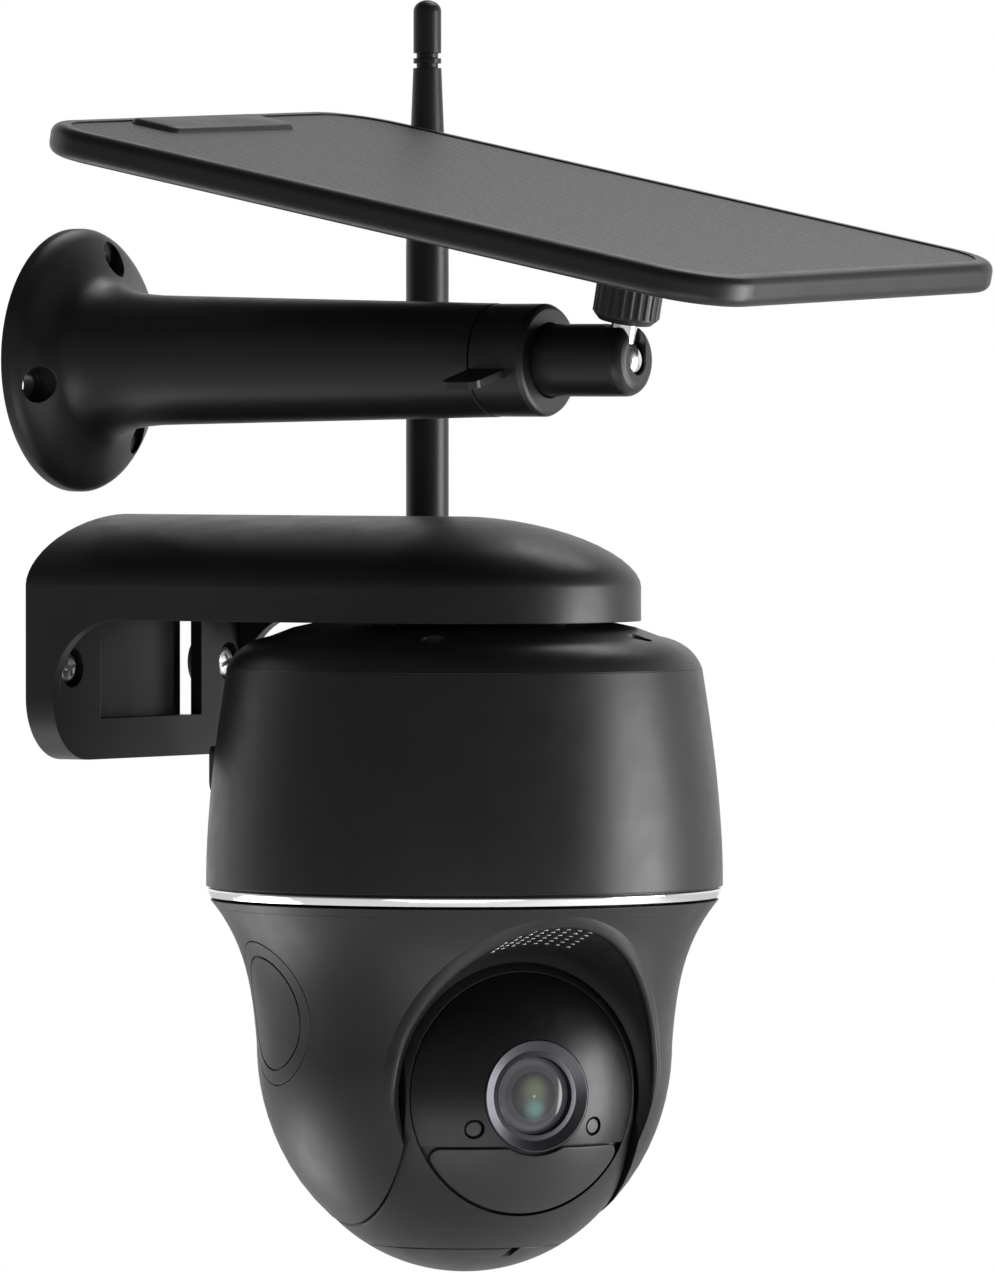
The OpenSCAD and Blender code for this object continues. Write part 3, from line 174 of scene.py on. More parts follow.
def crescents(centres, axes, major, minor):
    """Small raised crescents, one grid each: an arc of the major radius about each centre,
    75 degrees to each side, square to its axis and on the side that faces out along the
    lens axis. A tube runs round it, whose radius is the minor one times the root of
    cos(90 t), t going from -1 to 1 along the arc."""
    t = np.linspace(-1, 1, 11)[:, None]
    v = np.linspace(0, 2 * math.pi, 6, endpoint=False)[None, :]
    u, tube = np.radians(75 * t), minor * np.sqrt(np.maximum(np.cos(math.pi / 2 * t), 1e-4))
    far = major + tube * np.cos(v)
    arc = np.stack([far * np.cos(u), far * np.sin(u), tube * np.sin(v)], -1)
    return [carried(arc, frame_on(centre, Z_AXIS, axis)) for centre, axis in zip(centres, axes)]


def plate(outline, middle, radius, edge, thick):
    """Thin plate on a sphere, as closed rings from its back to its front. Each point
    (x, y) of the closed outline is lifted to z = sqrt(radius^2 - x^2 - y^2); the edge is
    rounded by drawing the outline in along its own normals, and further rings run straight
    to the middle."""
    along = np.roll(outline, -1, 0) - np.roll(outline, 1, 0)
    inward = np.column_stack([-along[:, 1], along[:, 0]]) / np.linalg.norm(along, axis=1)[:, None]
    made = [(middle + (outline - middle) * 1e-5, -thick), (outline, -thick)]
    for t in np.linspace(0, math.pi / 2, 4):
        made.append((outline + inward * edge * (1 - math.cos(t)), edge * (math.sin(t) - 1)))
    last = made[-1][0]
    made += [(middle + (last - middle) * t, 0) for t in (0.98, 0.94, 0.86, 0.75, 0.6, 0.45, 0.3, 0.15)]
    made.append((middle + (last - middle) * 1e-5, 0))
    lifted = [np.column_stack([xy, np.sqrt(radius ** 2 - (xy ** 2).sum(1)) + drop]) for xy, drop in made]
    return np.array(lifted)


def carried(points, place):
    """Points of a place's own frame taken to the frame around it."""
    return points @ place[:3, :3].T + place[:3, 3]


def quads(rows, columns, wrap_rows, wrap_columns):
    """Faces of a grid, row by row; a wrapped side joins its last line to its first."""
    i, j = np.meshgrid(np.arange(rows - (not wrap_rows)), np.arange(columns - (not wrap_columns)),
                       indexing="ij")
    after, beside = (i + 1) % rows, (j + 1) % columns
    corners = [i * columns + j, i * columns + beside, after * columns + beside, after * columns + j]
    return np.stack(corners, -1).reshape(-1, 4)


def piece(name, grids, place, body, slot, look=None, stands_for=(), sharp=35):
    """One object from (grid, wrap rows, wrap columns) surfaces: doubles merged, faces
    turned outwards, smooth but for edges sharper than the angle. It has its slot's
    finish unless another look is named. The point attribute "local" keeps each point's
    place in the local frame, in millimetres."""
    points, faces, local, first = [], [], [], 0
    for grid, wrap_rows, wrap_columns in grids:
        rows, columns = grid.shape[:2]
        local.append(grid.reshape(-1, 3))
        points.append(carried(local[-1], place) * MM)
        faces.append(quads(rows, columns, wrap_rows, wrap_columns) + first)
        first += rows * columns
    mesh = bpy.data.meshes.new(name)
    mesh.from_pydata(np.concatenate(points).tolist(), [], np.concatenate(faces).tolist())
    kept = mesh.attributes.new("local", "FLOAT_VECTOR", "POINT")
    kept.data.foreach_set("vector", np.concatenate(local).astype(np.float32).ravel())
    fill(mesh, mesh, 1e-6, outwards=True)
    return finished(name, mesh, body, look or slot, stands_for, sharp)


def fill(mesh, source, merge, outwards=False):
    """Gives a mesh the faces of the source, with doubles merged and empty faces dropped,
    and turns them outwards if asked."""
    work = bmesh.new()
    work.from_mesh(source)
    bmesh.ops.remove_doubles(work, verts=work.verts, dist=merge)
    bmesh.ops.dissolve_degenerate(work, edges=work.edges, dist=merge / 2)
    if outwards:
        bmesh.ops.recalc_face_normals(work, faces=work.faces)
    work.to_mesh(mesh)
    work.free()


def finished(name, mesh, body, look, stands_for, sharp):
    """Links a mesh as a piece: smooth shaded, on its body and its look."""
    mesh.shade_smooth()
    mesh.set_sharp_from_angle(angle=math.radians(sharp))
    mesh.materials.append(finish(look))
    made = bpy.data.objects.new(name, mesh)
    bpy.context.scene.collection.objects.link(made)
    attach(made, body)
    if stands_for:
        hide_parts(*stands_for)
    return made


def recast(name, node, body, slot):
    """Copy of a CAD node with its triangles joined, so that it shades as one moulded
    surface; it stands for the node."""
    mesh = bpy.data.meshes.new(name)
    fill(mesh, frame["nodes"][node].data, 2e-6)
    if "custom_normal" in mesh.attributes:
        mesh.attributes.remove(mesh.attributes["custom_normal"])
    mesh.materials.clear()
    return finished(name, mesh, body, slot, (node,), 30)


def dress(look, *nodes):
    """Gives CAD nodes that keep their own shape a finish."""
    for node in nodes:
        shape = frame["nodes"][node]
        if not shape.material_slots:
            shape.data.materials.append(finish(look))
        for place in shape.material_slots:
            place.material = finish(look)


# ---- colours and shader nodes ----

def linear(text):
    """Linear red, green and blue of an sRGB hex colour such as "#8a8a8a"."""
    channels = [int(text[i:i + 2], 16) / 255 for i in (1, 3, 5)]
    return tuple(c / 12.92 if c <= 0.04045 else ((c + 0.055) / 1.055) ** 2.4 for c in channels)


def add(tree, kind, links=None, **settings):
    """Adds a shader node. Settings set its properties; links feed its inputs, by name
    or number, with a value or with another node's output."""
    made = tree.nodes.new("ShaderNode" + kind)
    for key, value in settings.items():
        setattr(made, key, value)
    for key, value in (links or {}).items():
        if isinstance(value, bpy.types.NodeSocket):
            tree.links.new(value, made.inputs[key])
        else:
            made.inputs[key].default_value = value
    return made


def begin(name):
    """New empty material, its node tree and its object coordinates."""
    material = bpy.data.materials.new(name)
    material.use_nodes = True
    material.node_tree.nodes.clear()
    return material, material.node_tree, add(material.node_tree, "TexCoord").outputs["Object"]


def end(material, tree, colour, shade=None, **inputs):
    """Adds the shader and the output. The base colour is the colour, times the shade if
    there is one; the other inputs are named as on the shader, with _ for a space."""
    if shade is not None:
        colour = add(tree, "VectorMath", {0: colour, "Scale": shade}, operation="SCALE").outputs[0]
    links = {key.replace("_", " "): value for key, value in inputs.items()}
    shader = add(tree, "BsdfPrincipled", {"Base Color": colour, **links})
    add(tree, "OutputMaterial", {"Surface": shader.outputs[0]})
    return material


def mottled(tree, where, size, low, high, detail=2.0, spread=(0.3, 0.7)):
    """Number that wanders from low to high in patches of about size millimetres. The
    spread is the part of the noise's own range that makes the whole of it."""
    patches = add(tree, "TexNoise", {"Vector": where, "Scale": 1 / (size * MM), "Detail": detail})
    links = {"Value": patches.outputs["Fac"], "From Min": spread[0], "From Max": spread[1]}
    return add(tree, "MapRange", {**links, "To Min": low, "To Max": high}).outputs["Result"]


def grained(tree, where, size, depth, edge, detail=2.0):
    """Normal of a surface with a grain of that size and depth and with its edges
    rounded by the edge radius, all in millimetres."""
    grain = add(tree, "TexNoise", {"Vector": where, "Scale": 1 / (size * MM), "Detail": detail})
    soft = add(tree, "Bevel", {"Radius": edge * MM}, samples=4)
    return add(tree, "Bump", {"Height": grain.outputs["Fac"], "Distance": depth * MM,
                              "Normal": soft.outputs[0]}).outputs[0]


# ---- finishes ----

WHOLE = (0, 1)
WAVE = 2 * math.pi / 20  # length of one wave of the Wave texture at scale 1


def moulded_plastic(name, colour, rough, depth=0.012):
    """ABS moulded against a spark-eroded tool: an even satin with a fine grain. The real
    grain is about 0.1 mm; it is drawn at 0.45 mm so that it can be seen. Slow changes
    of shade and gloss come from the melt's flow and from handling. Acetal and the
    cells' sleeves have the same skin in their own colours."""
    material, tree, where = begin(name)
    return end(material, tree, colour, mottled(tree, where, 22, 0.86, 1.16), Specular_IOR_Level=0.3,
               Roughness=mottled(tree, where, 6, rough - 0.035, rough + 0.035, 3),
               Normal=grained(tree, where, 0.45, depth, 0.3, 3))


def gloss_acrylic(name, colour):
    """Black acrylic face, polished and hard-coated to a soft gloss, with a faint metallic
    fleck under it: flecks of 0.12 mm, drawn at 0.35 mm."""
    material, tree, where = begin(name)
    cells = add(tree, "TexVoronoi", {"Vector": where, "Scale": 1 / (0.35 * MM)})
    fleck = add(tree, "MapRange", {"Value": cells.outputs["Color"], "From Min": 0.93}).outputs["Result"]
    flecked = add(tree, "Mix", {0: fleck, 6: (*colour, 1), 7: (*[c * 2.2 + 0.006 for c in colour], 1)},
                  data_type="RGBA").outputs[2]
    return end(material, tree, flecked, Specular_IOR_Level=0.27,
               Roughness=mottled(tree, where, 3, 0.31, 0.37, 3),
               Normal=grained(tree, where, 9, 0.01, 0.25, 1))


def anodised(name, colour):
    """Turned aluminium, anodised dark: metal grey with the fine rings of the turning,
    0.15 mm apart, drawn at 0.6 mm so that they show."""
    material, tree, where = begin(name)
    local = add(tree, "Attribute", attribute_name="local").outputs["Vector"]
    rings = add(tree, "TexWave", {"Vector": local, "Scale": WAVE / 0.593, "Distortion": 0.4},
                wave_type="RINGS", rings_direction="Z").outputs["Fac"]
    polish = add(tree, "MapRange", {"Value": rings, "To Min": 0.33, "To Max": 0.42})
    return end(material, tree, colour, mottled(tree, where, 2, 0.85, 1.1, 3, WHOLE), Metallic=1.0,
               Roughness=polish.outputs["Result"],
               Normal=add(tree, "Bump", {"Height": rings, "Distance": 0.004 * MM}).outputs[0])


def chrome_plate(name, colour):
    """Bright chromium plated on ABS: mirror-like, with a slight waviness from the moulding."""
    material, tree, where = begin(name)
    return end(material, tree, colour, mottled(tree, where, 12, 0.94, 1, 2, WHOLE), Metallic=1.0,
               Roughness=mottled(tree, where, 2, 0.05, 0.11, 3),
               Normal=grained(tree, where, 4, 0.006, 0.15))


def plated_steel(name, colour, rough):
    """Nickel-plated steel, tumbled, or machined brass: pale metal with faint dents and a
    soft gleam."""
    material, tree, where = begin(name)
    return end(material, tree, colour, mottled(tree, where, 1.5, 0.8, 1, 4, WHOLE), Metallic=1.0,
               Roughness=mottled(tree, where, 0.7, rough - 0.07, rough + 0.07, 3),
               Normal=grained(tree, where, 0.8, 0.002, 0.08))


def smoked_window(name, colour):
    """Smoked polycarbonate window with a matt back: dark grey, smooth, quiet reflections."""
    material, tree, where = begin(name)
    return end(material, tree, colour, mottled(tree, where, 7, 0.85, 1.12, 2, WHOLE),
               Specular_IOR_Level=0.3, Roughness=mottled(tree, where, 2, 0.36, 0.44, 3),
               Normal=grained(tree, where, 0.6, 0.006, 0.2))


def soft_rubber(name, colour):
    """Moulded rubber: dull, with a dry, slightly uneven skin."""
    material, tree, where = begin(name)
    return end(material, tree, colour, mottled(tree, where, 5, 0.8, 1.2, 4, WHOLE), IOR=1.52,
               Roughness=mottled(tree, where, 1.2, 0.54, 0.66, 3),
               Normal=grained(tree, where, 0.4, 0.02, 0.2, 3))


def solar_face(name, colour):
    """Monocrystalline cells under an etched plastic sheet: dark grey, with the fine
    slanted ribs of the etching, 0.4 mm apart, drawn at 2.2 mm, and its grains of 0.3 mm,
    drawn at 0.9 mm, so that both show."""
    material, tree, where = begin(name)
    slanted = add(tree, "Mapping", {"Vector": where, "Rotation": (0, 0, math.radians(38))}).outputs[0]
    ribs = add(tree, "TexWave", {"Vector": slanted, "Scale": WAVE / (2.1735 * MM), "Distortion": 1.5,
                                 "Detail": 2.0, "Detail Scale": 1.0}).outputs["Fac"]
    grains = add(tree, "TexVoronoi", {"Vector": where, "Scale": 1 / (0.9 * MM)}).outputs["Distance"]
    shade = add(tree, "MapRange", {"Value": ribs, "To Min": 0.93, "To Max": 1.05}).outputs["Result"]
    dull = add(tree, "MapRange", {"Value": grains, "From Max": 0.6, "To Min": 0.44, "To Max": 0.56})
    height = add(tree, "Math", {0: ribs, 1: grains}, operation="ADD").outputs[0]
    return end(material, tree, colour, shade, Specular_IOR_Level=0.31, Roughness=dull.outputs["Result"],
               Normal=add(tree, "Bump", {"Height": height, "Distance": 0.018 * MM}).outputs[0])


def coated_glass(name, colour):
    """Glass lens with an anti-reflex coating. The elements behind it show as dull rings round the axis. The
    middle is drawn darker, and painted reflections of the coating lie over it: greenish grey over most of
    the middle, amber-green above it, teal below it, and a small pale painted highlight at its centre."""
    material, tree, where = begin(name)
    local = add(tree, "Attribute", attribute_name="local").outputs["Vector"]
    flat = add(tree, "VectorMath", {0: local, 1: (1, 1, 0)}, operation="MULTIPLY").outputs[0]
    rings = add(tree, "TexWave", {"Vector": flat, "Scale": WAVE / 2.57, "Distortion": 0.3},
                wave_type="RINGS", rings_direction="Z").outputs["Fac"]
    shade = add(tree, "MapRange", {"Value": rings, "To Min": 0.72, "To Max": 1.2}).outputs["Result"]
    seen = add(tree, "VectorMath", {0: colour, "Scale": shade}, operation="SCALE").outputs[0]
    # the first entry draws the middle darker; the rest are painted reflections of the coating, the last a
    # small pale painted highlight
    dark_middle_and_painted_reflections = ((0, 0, 4.4, 4.8, 1.0, [c * 0.5 for c in colour]), (0, 0, 0.6, 4.4, 0.85, linear("#50524f")),
             (0.1, 1.3, 0.2, 3.3, 0.7, linear("#5d634f")), (0.2, -2.6, 0.2, 2.9, 0.75, linear("#5a7871")),
             (0, -0.1, 0.05, 0.42, 0.7, linear("#9da19c")))
    for x, y, inner, outer, level, glow in dark_middle_and_painted_reflections:
        # the level within the inner radius of the painted spot's middle, falling to 0 at the outer
        away = add(tree, "VectorMath", {0: flat, 1: (x, y, 0)}, operation="DISTANCE").outputs["Value"]
        amount = add(tree, "MapRange", {"Value": away, "From Min": outer, "From Max": inner,
                                        "To Max": level}, interpolation_type="SMOOTHSTEP").outputs["Result"]
        seen = add(tree, "Mix", {0: amount, 6: seen, 7: (*glow, 1)}, data_type="RGBA").outputs[2]
    dents = add(tree, "TexNoise", {"Vector": where, "Scale": 1 / (5 * MM), "Detail": 1.0}).outputs["Fac"]
    return end(material, tree, seen, Roughness=0.08, IOR=1.5, Specular_IOR_Level=0.35,
               Normal=add(tree, "Bump", {"Height": dents, "Distance": 0.002 * MM}).outputs[0])


def circuit_board(name, colour):
    """Glass-epoxy board under solder mask: green, with paler copper tracks 1 mm apart."""
    material, tree, where = begin(name)
    tracks = add(tree, "TexBrick", {"Vector": where, "Scale": 1 / (4 * MM),
                                    "Mortar Size": 0.06}).outputs["Fac"]
    seen = add(tree, "Mix", {0: tracks, 6: (*colour, 1), 7: (*[c * 2.2 + 0.02 for c in colour], 1)},
               data_type="RGBA").outputs[2]
    gloss = add(tree, "MapRange", {"Value": tracks, "To Min": 0.32, "To Max": 0.24}).outputs["Result"]
    return end(material, tree, seen, Roughness=gloss, IOR=1.5,
               Normal=add(tree, "Bump", {"Height": tracks, "Distance": 0.03 * MM}).outputs[0])


# look: its colour, where it is used, its maker, the material's name and the maker's settings
FINISHES = {
    "satin_black": ("#111112", "Cap, bracket, antenna and arm",
                    moulded_plastic, "Satin ABS, spark-eroded", 0.38),
    "shell_black": ("#151517", "Pan shell and tilting head",
                    moulded_plastic, "Satin ABS, fine grain", 0.42, 0.009),
    "gloss_black": ("#050506", "Glossy face",
                    gloss_acrylic, "Polished acrylic"),
    "plaque_black": ("#262628", "Plaque on the solar panel",
                     moulded_plastic, "Satin ABS, smooth", 0.42, 0.005),
    "window_grey": ("#202022", "Windows of the face",
                    smoked_window, "Smoked polycarbonate"),
    "chrome": ("#e9eaec", "Trim ring and ball stud",
               chrome_plate, "Chromium plate"),
    "steel": ("#c9cbce", "Screws, pins, motors and the grille's rims",
              plated_steel, "Nickel-plated steel", 0.4),
    "brass": ("#b8995a", "Bushes and pinions",
              plated_steel, "Machined brass", 0.34),
    "white_plastic": ("#d8d8d2", "Gears and washer",
                      moulded_plastic, "Natural acetal", 0.4),
    "rubber": ("#1b1b1c", "Seal, port plug and gasket",
               soft_rubber, "Moulded rubber"),
    "lens_ring": ("#434347", "Ring around the lens",
                  anodised, "Anodised aluminium"),
    "board": ("#1d5537", "Circuit boards",
              circuit_board, "Glass-epoxy circuit board"),
    "cell_can": ("#3f6f9f", "Sleeves of the battery cells",
                 moulded_plastic, "Heat-shrink sleeve", 0.3),
    "lens_glass": ("#48484b", "Lens",
                   coated_glass, "Coated glass"),
    "solar_cells": ("#47474b", "Solar laminate",
                    solar_face, "Etched solar laminate"),
}


def finish(look):
    """The material of a look, made once, in the colour of its property."""
    maker, name, *settings = FINISHES[look][2:]
    made = bpy.data.materials.get(name)
    return made or maker(name, tuple(getattr(bpy.context.scene.seccam_colours, look)), *settings)


# ---- properties ----

def length(name, description, millimetres):
    """Property that holds a length."""
    return FloatProperty(name=name, description=description, default=millimetres * MM, soft_min=0,
                         unit="LENGTH", precision=5)


class SECCAM_PG_colours(bpy.types.PropertyGroup):
    """Colour of each finish"""
    __annotations__ = {
        look: FloatVectorProperty(name=look.replace("_", " ").capitalize(), description=where,
                                  default=linear(text), subtype="COLOR", min=0, max=1)
        for look, (text, where, *_) in FINISHES.items()
    }


class SECCAM_PG_sizes(bpy.types.PropertyGroup):
    """Sizes of the details that are drawn here"""
    lip_width: length("Lip width", "Width of the brow's rounded lip on the shell's outer surface", 2.3)
    lip_rise: length("Lip rise", "Height of the brow's rounded lip", 0.34)
    grille_pitch: length("Grille pitch", "Distance between the holes of a row of the speaker grille", 2.3)
    grille_hole: length("Grille hole", "Radius of the raised rims of the grille's holes", 0.5)
    ring_bevel: length("Ring bevel", "Depth of the hollow bevel on the lens ring", 0.95)
    lens_depth: length("Lens depth", "Distance from the lens ring's front back to the glass", 1.25)
    window_joint: length("Window joint", "Width of the open joint round the lower window", 0.4)
    pane_edge: length("Pane edge", "Radius of the lower window's rounded edge", 0.22)
    plaque_short: length("Plaque shortening", "How much shorter than its solid the plaque is drawn", 12)


class SECCAM_PG_stage(bpy.types.PropertyGroup):
    """Camera and light"""
    azimuth: FloatProperty(name="Azimuth", description="Direction of the view round the camera body",
                           default=math.radians(-57.5), subtype="ANGLE")
    distance: length("Distance", "From the viewer to the camera body's axis", 2400)
    lens: FloatProperty(name="Focal length", description="Focal length on a 36 mm film, in millimetres",
                        default=358.1, min=20)
    eye_height: length("Eye height", "Height of the viewer's eye", 58.6)
    aside: length("Aside", "Distance that the view passes beside the body's axis", 6.26)
    pitch: FloatProperty(name="Pitch", description="Downward tilt of the view",
                         default=math.radians(1.25), subtype="ANGLE")
    fill: FloatProperty(name="Fill", description="Level of the sky's even light", default=0.5, min=0)
    front: FloatProperty(name="Front", description="Level of the room on the viewer's side, seen in gloss",
                         default=0.34, min=0)
    key: FloatProperty(name="Key", description="Power that each lamp has a share of, in watts",
                       default=9, min=0)
    floor_drop: length("Floor drop", "Distance from the part down to the floor", 340)


# ---- stage ----

# lamp: width, height, share of the key's power, bearing in degrees, height and distance
LAMPS = {
    "right box": (400, 540, 0.95, 84, -110, 760),
    "low box": (500, 260, 0.11, -5, -300, 420),
    "left box": (420, 300, 0.17, -116, -408, 495),
    "top box": (500, 500, 0.4, 150, 800, 500),
}
FLOOR_REACH = 3000


def softbox(name, middle, wide, high, share, bearing, height, away):
    """Rectangular area lamp aimed at the middle. Its bearing is measured from the
    viewer's side, positive to the viewer's right; sizes and places are in millimetres."""
    looks = bpy.context.scene.seccam_stage
    turn = looks.azimuth + math.radians(bearing)
    lamp = bpy.data.lights.new(name, "AREA")
    lamp.shape = "RECTANGLE"
    lamp.size, lamp.size_y = wide * MM, high * MM
    lamp.energy = looks.key * share
    made = bpy.data.objects.new(name, lamp)
    bpy.context.scene.collection.objects.link(made)
    out = np.array([math.sin(turn), -math.cos(turn), 0.0]) * away + np.array([0, 0, height])
    made.matrix_world = placed(middle + out, (math.cos(turn), math.sin(turn), 0), out)
    made.visible_camera = False


def placed(origin, x_axis, z_axis):
    """World matrix of a lamp or a camera whose place is given in millimetres."""
    matrix = frame_on(origin, x_axis, z_axis)
    matrix[:3, 3] *= MM
    return Matrix(matrix.tolist())


def backdrop_finish(name, colour):
    """Pale painted floor, like matt paper. Seen directly, in gloss or through glass, half
    of it is at its own level, so that it stays pale and still takes a shadow."""
    material, tree, where = begin(name)
    shade = mottled(tree, where, 60, 0.985, 1, 2, WHOLE)
    base = add(tree, "VectorMath", {0: colour, "Scale": shade}, operation="SCALE").outputs[0]
    tooth = add(tree, "TexNoise", {"Vector": where, "Scale": 1 / (3 * MM), "Detail": 2.0}).outputs["Fac"]
    paint = add(tree, "BsdfPrincipled", {
        "Base Color": base, "Roughness": 0.9, "Specular IOR Level": 0.2,
        "Normal": add(tree, "Bump", {"Height": tooth, "Distance": 0.01 * MM}).outputs[0]})
    glow = add(tree, "Emission", {"Color": base, "Strength": 1.0})
    ray = add(tree, "LightPath").outputs
    seen = ray["Is Camera Ray"]
    for kind in ("Is Glossy Ray", "Is Transmission Ray"):
        seen = add(tree, "Math", {0: seen, 1: ray[kind]}, operation="MAXIMUM").outputs[0]
    part = add(tree, "Math", {0: seen, 1: 0.5}, operation="MULTIPLY").outputs[0]
    mix = add(tree, "MixShader", {0: part, 1: paint.outputs[0], 2: glow.outputs[0]})
    add(tree, "OutputMaterial", {"Surface": mix.outputs[0]})
    return material


def sky(fill, front):
    """World of a studio. It lights evenly at the fill level. Seen directly or through
    glass it is white. In gloss it is white behind the object, up to the walls' height,
    falls to the front level on the viewer's side and to 0.3 of that overhead."""
    world = bpy.data.worlds.new("Sky")
    world.use_nodes = True
    tree = world.node_tree
    tree.nodes.clear()
    ray = add(tree, "LightPath").outputs
    ways = add(tree, "TexCoord").outputs["Generated"]
    turn = bpy.context.scene.seccam_stage.azimuth
    behind = add(tree, "VectorMath", {0: ways, 1: (-math.sin(turn), math.cos(turn), 0)},
                 operation="DOT_PRODUCT").outputs["Value"]
    wall = add(tree, "MapRange", {"Value": behind, "From Min": 0.05, "From Max": 0.5},
               interpolation_type="SMOOTHSTEP").outputs["Result"]
    up = add(tree, "SeparateXYZ", {"Vector": ways}).outputs["Z"]
    low = add(tree, "MapRange", {"Value": up, "From Min": 0.65, "From Max": 0.3},
              interpolation_type="SMOOTHSTEP").outputs["Result"]
    room = add(tree, "MapRange", {"Value": low, "To Min": front * 0.3, "To Max": front}).outputs["Result"]
    lit_wall = add(tree, "Math", {0: wall, 1: low}, operation="MULTIPLY").outputs[0]
    level = add(tree, "Mix", {0: lit_wall, 2: room, 3: 1.0}).outputs[0]
    lit, gloss, white = [add(tree, "Background", {"Color": (1, 1, 1, 1), "Strength": strength}).outputs[0]
                         for strength in (fill, level, 1.0)]
    seen = add(tree, "Math", {0: ray["Is Camera Ray"], 1: ray["Is Transmission Ray"]},
               operation="MAXIMUM").outputs[0]
    inner = add(tree, "MixShader", {0: ray["Is Glossy Ray"], 1: lit, 2: gloss}).outputs[0]
    mix = add(tree, "MixShader", {0: seen, 1: inner, 2: white})
    add(tree, "OutputWorld", {"Surface": mix.outputs[0]})
    bpy.context.scene.world = world


class SECCAM_OT_stage(bpy.types.Operator):
    """Floor, soft lamps, sky and the viewer's camera"""
    bl_idname = "seccam.stage"
    bl_label = "Stage"

    def execute(self, context):
        scene, looks = context.scene, context.scene.seccam_stage
        scene.view_settings.view_transform = "Standard"
        middle = np.array([CAMERA[0, 3], CAMERA[1, 3], 0.0])
        low = (CAD_BOX[0][2] - looks.floor_drop) / MM
        corners = middle + np.array([(-1, -1, 0), (1, -1, 0), (1, 1, 0), (-1, 1, 0)]) * FLOOR_REACH
        floor = bpy.data.meshes.new("floor")
        floor.from_pydata(((corners + (0, 0, low)) * MM).tolist(), [], [(0, 1, 2, 3)])
        floor.materials.append(backdrop_finish("Painted floor", linear("#f4f4f4")))
        ground = bpy.data.objects.new("floor", floor)
        scene.collection.objects.link(ground)
        sky(looks.fill, looks.front)
        for name, lamp in LAMPS.items():
            softbox(name, middle, *lamp)

        view = bpy.data.cameras.new("viewer")
        view.lens = looks.lens
        view.sensor_width = 36
        view.clip_end = 20
        viewer = bpy.data.objects.new("viewer", view)
        scene.collection.objects.link(viewer)
        back = np.array([math.sin(looks.azimuth), -math.cos(looks.azimuth), 0])
        right = np.array([math.cos(looks.azimuth), math.sin(looks.azimuth), 0])
        eye = middle + (back * looks.distance + right * looks.aside) / MM
        eye[2] = looks.eye_height / MM
        tilted = back * math.cos(looks.pitch) + np.array([0, 0, math.sin(looks.pitch)])
        viewer.matrix_world = placed(eye, right, tilted)
        scene.camera = viewer
        return {"FINISHED"}


# ---- wall bracket and fixed housing ----

class SECCAM_OT_bracket(bpy.types.Operator):
    """Wall bracket with its hood, its screws and the twist lock's ring"""
    bl_idname = "seccam.bracket"
    bl_label = "Wall bracket"

    def execute(self, context):
        recast("bracket_moulding", "wall_bracket", "root", "satin_black")
        dress("steel", "bracket_screws", "lock_ring", "lock_ring_screws")
        return {"FINISHED"}


class SECCAM_OT_housing(bpy.types.Operator):
    """Cap, fixed housing, trim ring, floor and their screws and seal"""
    bl_idname = "seccam.housing"
    bl_label = "Fixed housing"

    def execute(self, context):
        recast("cap_moulding", "top_cap", "root", "satin_black")
        recast("housing_moulding", "upper_housing", "root", "satin_black")
        low, high = extent("trim_ring", CAMERA)
        edge, low, high = high[0], low[2], high[2]
        inner = edge - 5
        band = rounded([(inner, high), (edge - 0.35, high), (edge - 0.1, high - 0.35),
                        (edge - 0.75, low + 0.2), (edge - 1.1, low), (inner, low), (inner, high)],
                       [0.1, 0.3, 0.3, 0.2, 0])
        piece("trim_band", [(turned(band, 256), False, True)], CAMERA, "root", "chrome",
              stands_for=("trim_ring",))
        dress("satin_black", "base_plate", "battery_tray", "switch_block", "power_switch")
        dress("steel", "cap_screws", "pan_motor", "usb_socket")
        dress("rubber", "cap_seal", "port_plug")
        dress("white_plastic", "pan_washer")
        dress("board", "main_board")
        dress("cell_can", "battery_cells")
        dress("brass", "pan_pinion")
        return {"FINISHED"}


class SECCAM_OT_antenna(bpy.types.Operator):
    """Antenna with its mount, knuckle and pin"""
    bl_idname = "seccam.antenna"
    bl_label = "Antenna"

    def execute(self, context):
        dress("satin_black", "antenna_mount", "antenna_knuckle", "antenna_sleeve", "antenna_tip")
        dress("steel", "antenna_pin")
        return {"FINISHED"}


# ---- turning shell ----

# The shell's own curves, in millimetres. Brow: three control points (radius, depth) of its
# funnel's curve, and how fast the cone beyond it widens. Flare: radius of the waist and its
# height above the tilt axis, how deep the bowl hangs below it, the part of the widening that
# comes first, and the radius at the top.
BROW = {"curve": ((24.7, 25.36), (26.9, 26.96), (28.0, 31.0)), "slope": 0.3}
FLARE = {"waist": 39.4, "waist_up": 8.0, "bowl": 42.3, "first": 3.2, "top": 48.2}
STEP = 0.05  # half of the span over which a slope is measured


def funnel(depth):
    """Radius of the brow's funnel about the lens axis, depth millimetres out from the head:
    a quadratic curve from its lip, and from that curve's end a cone."""
    t = np.linspace(0, 1, 33)[:, None]
    a, b, c = [np.array(point) for point in BROW["curve"]]
    curve = a * (1 - t) ** 2 + b * 2 * t * (1 - t) + c * t ** 2
    return np.where(depth < c[1], np.interp(depth, curve[:, 1], curve[:, 0]),
                    c[0] + BROW["slope"] * (depth - c[1]))


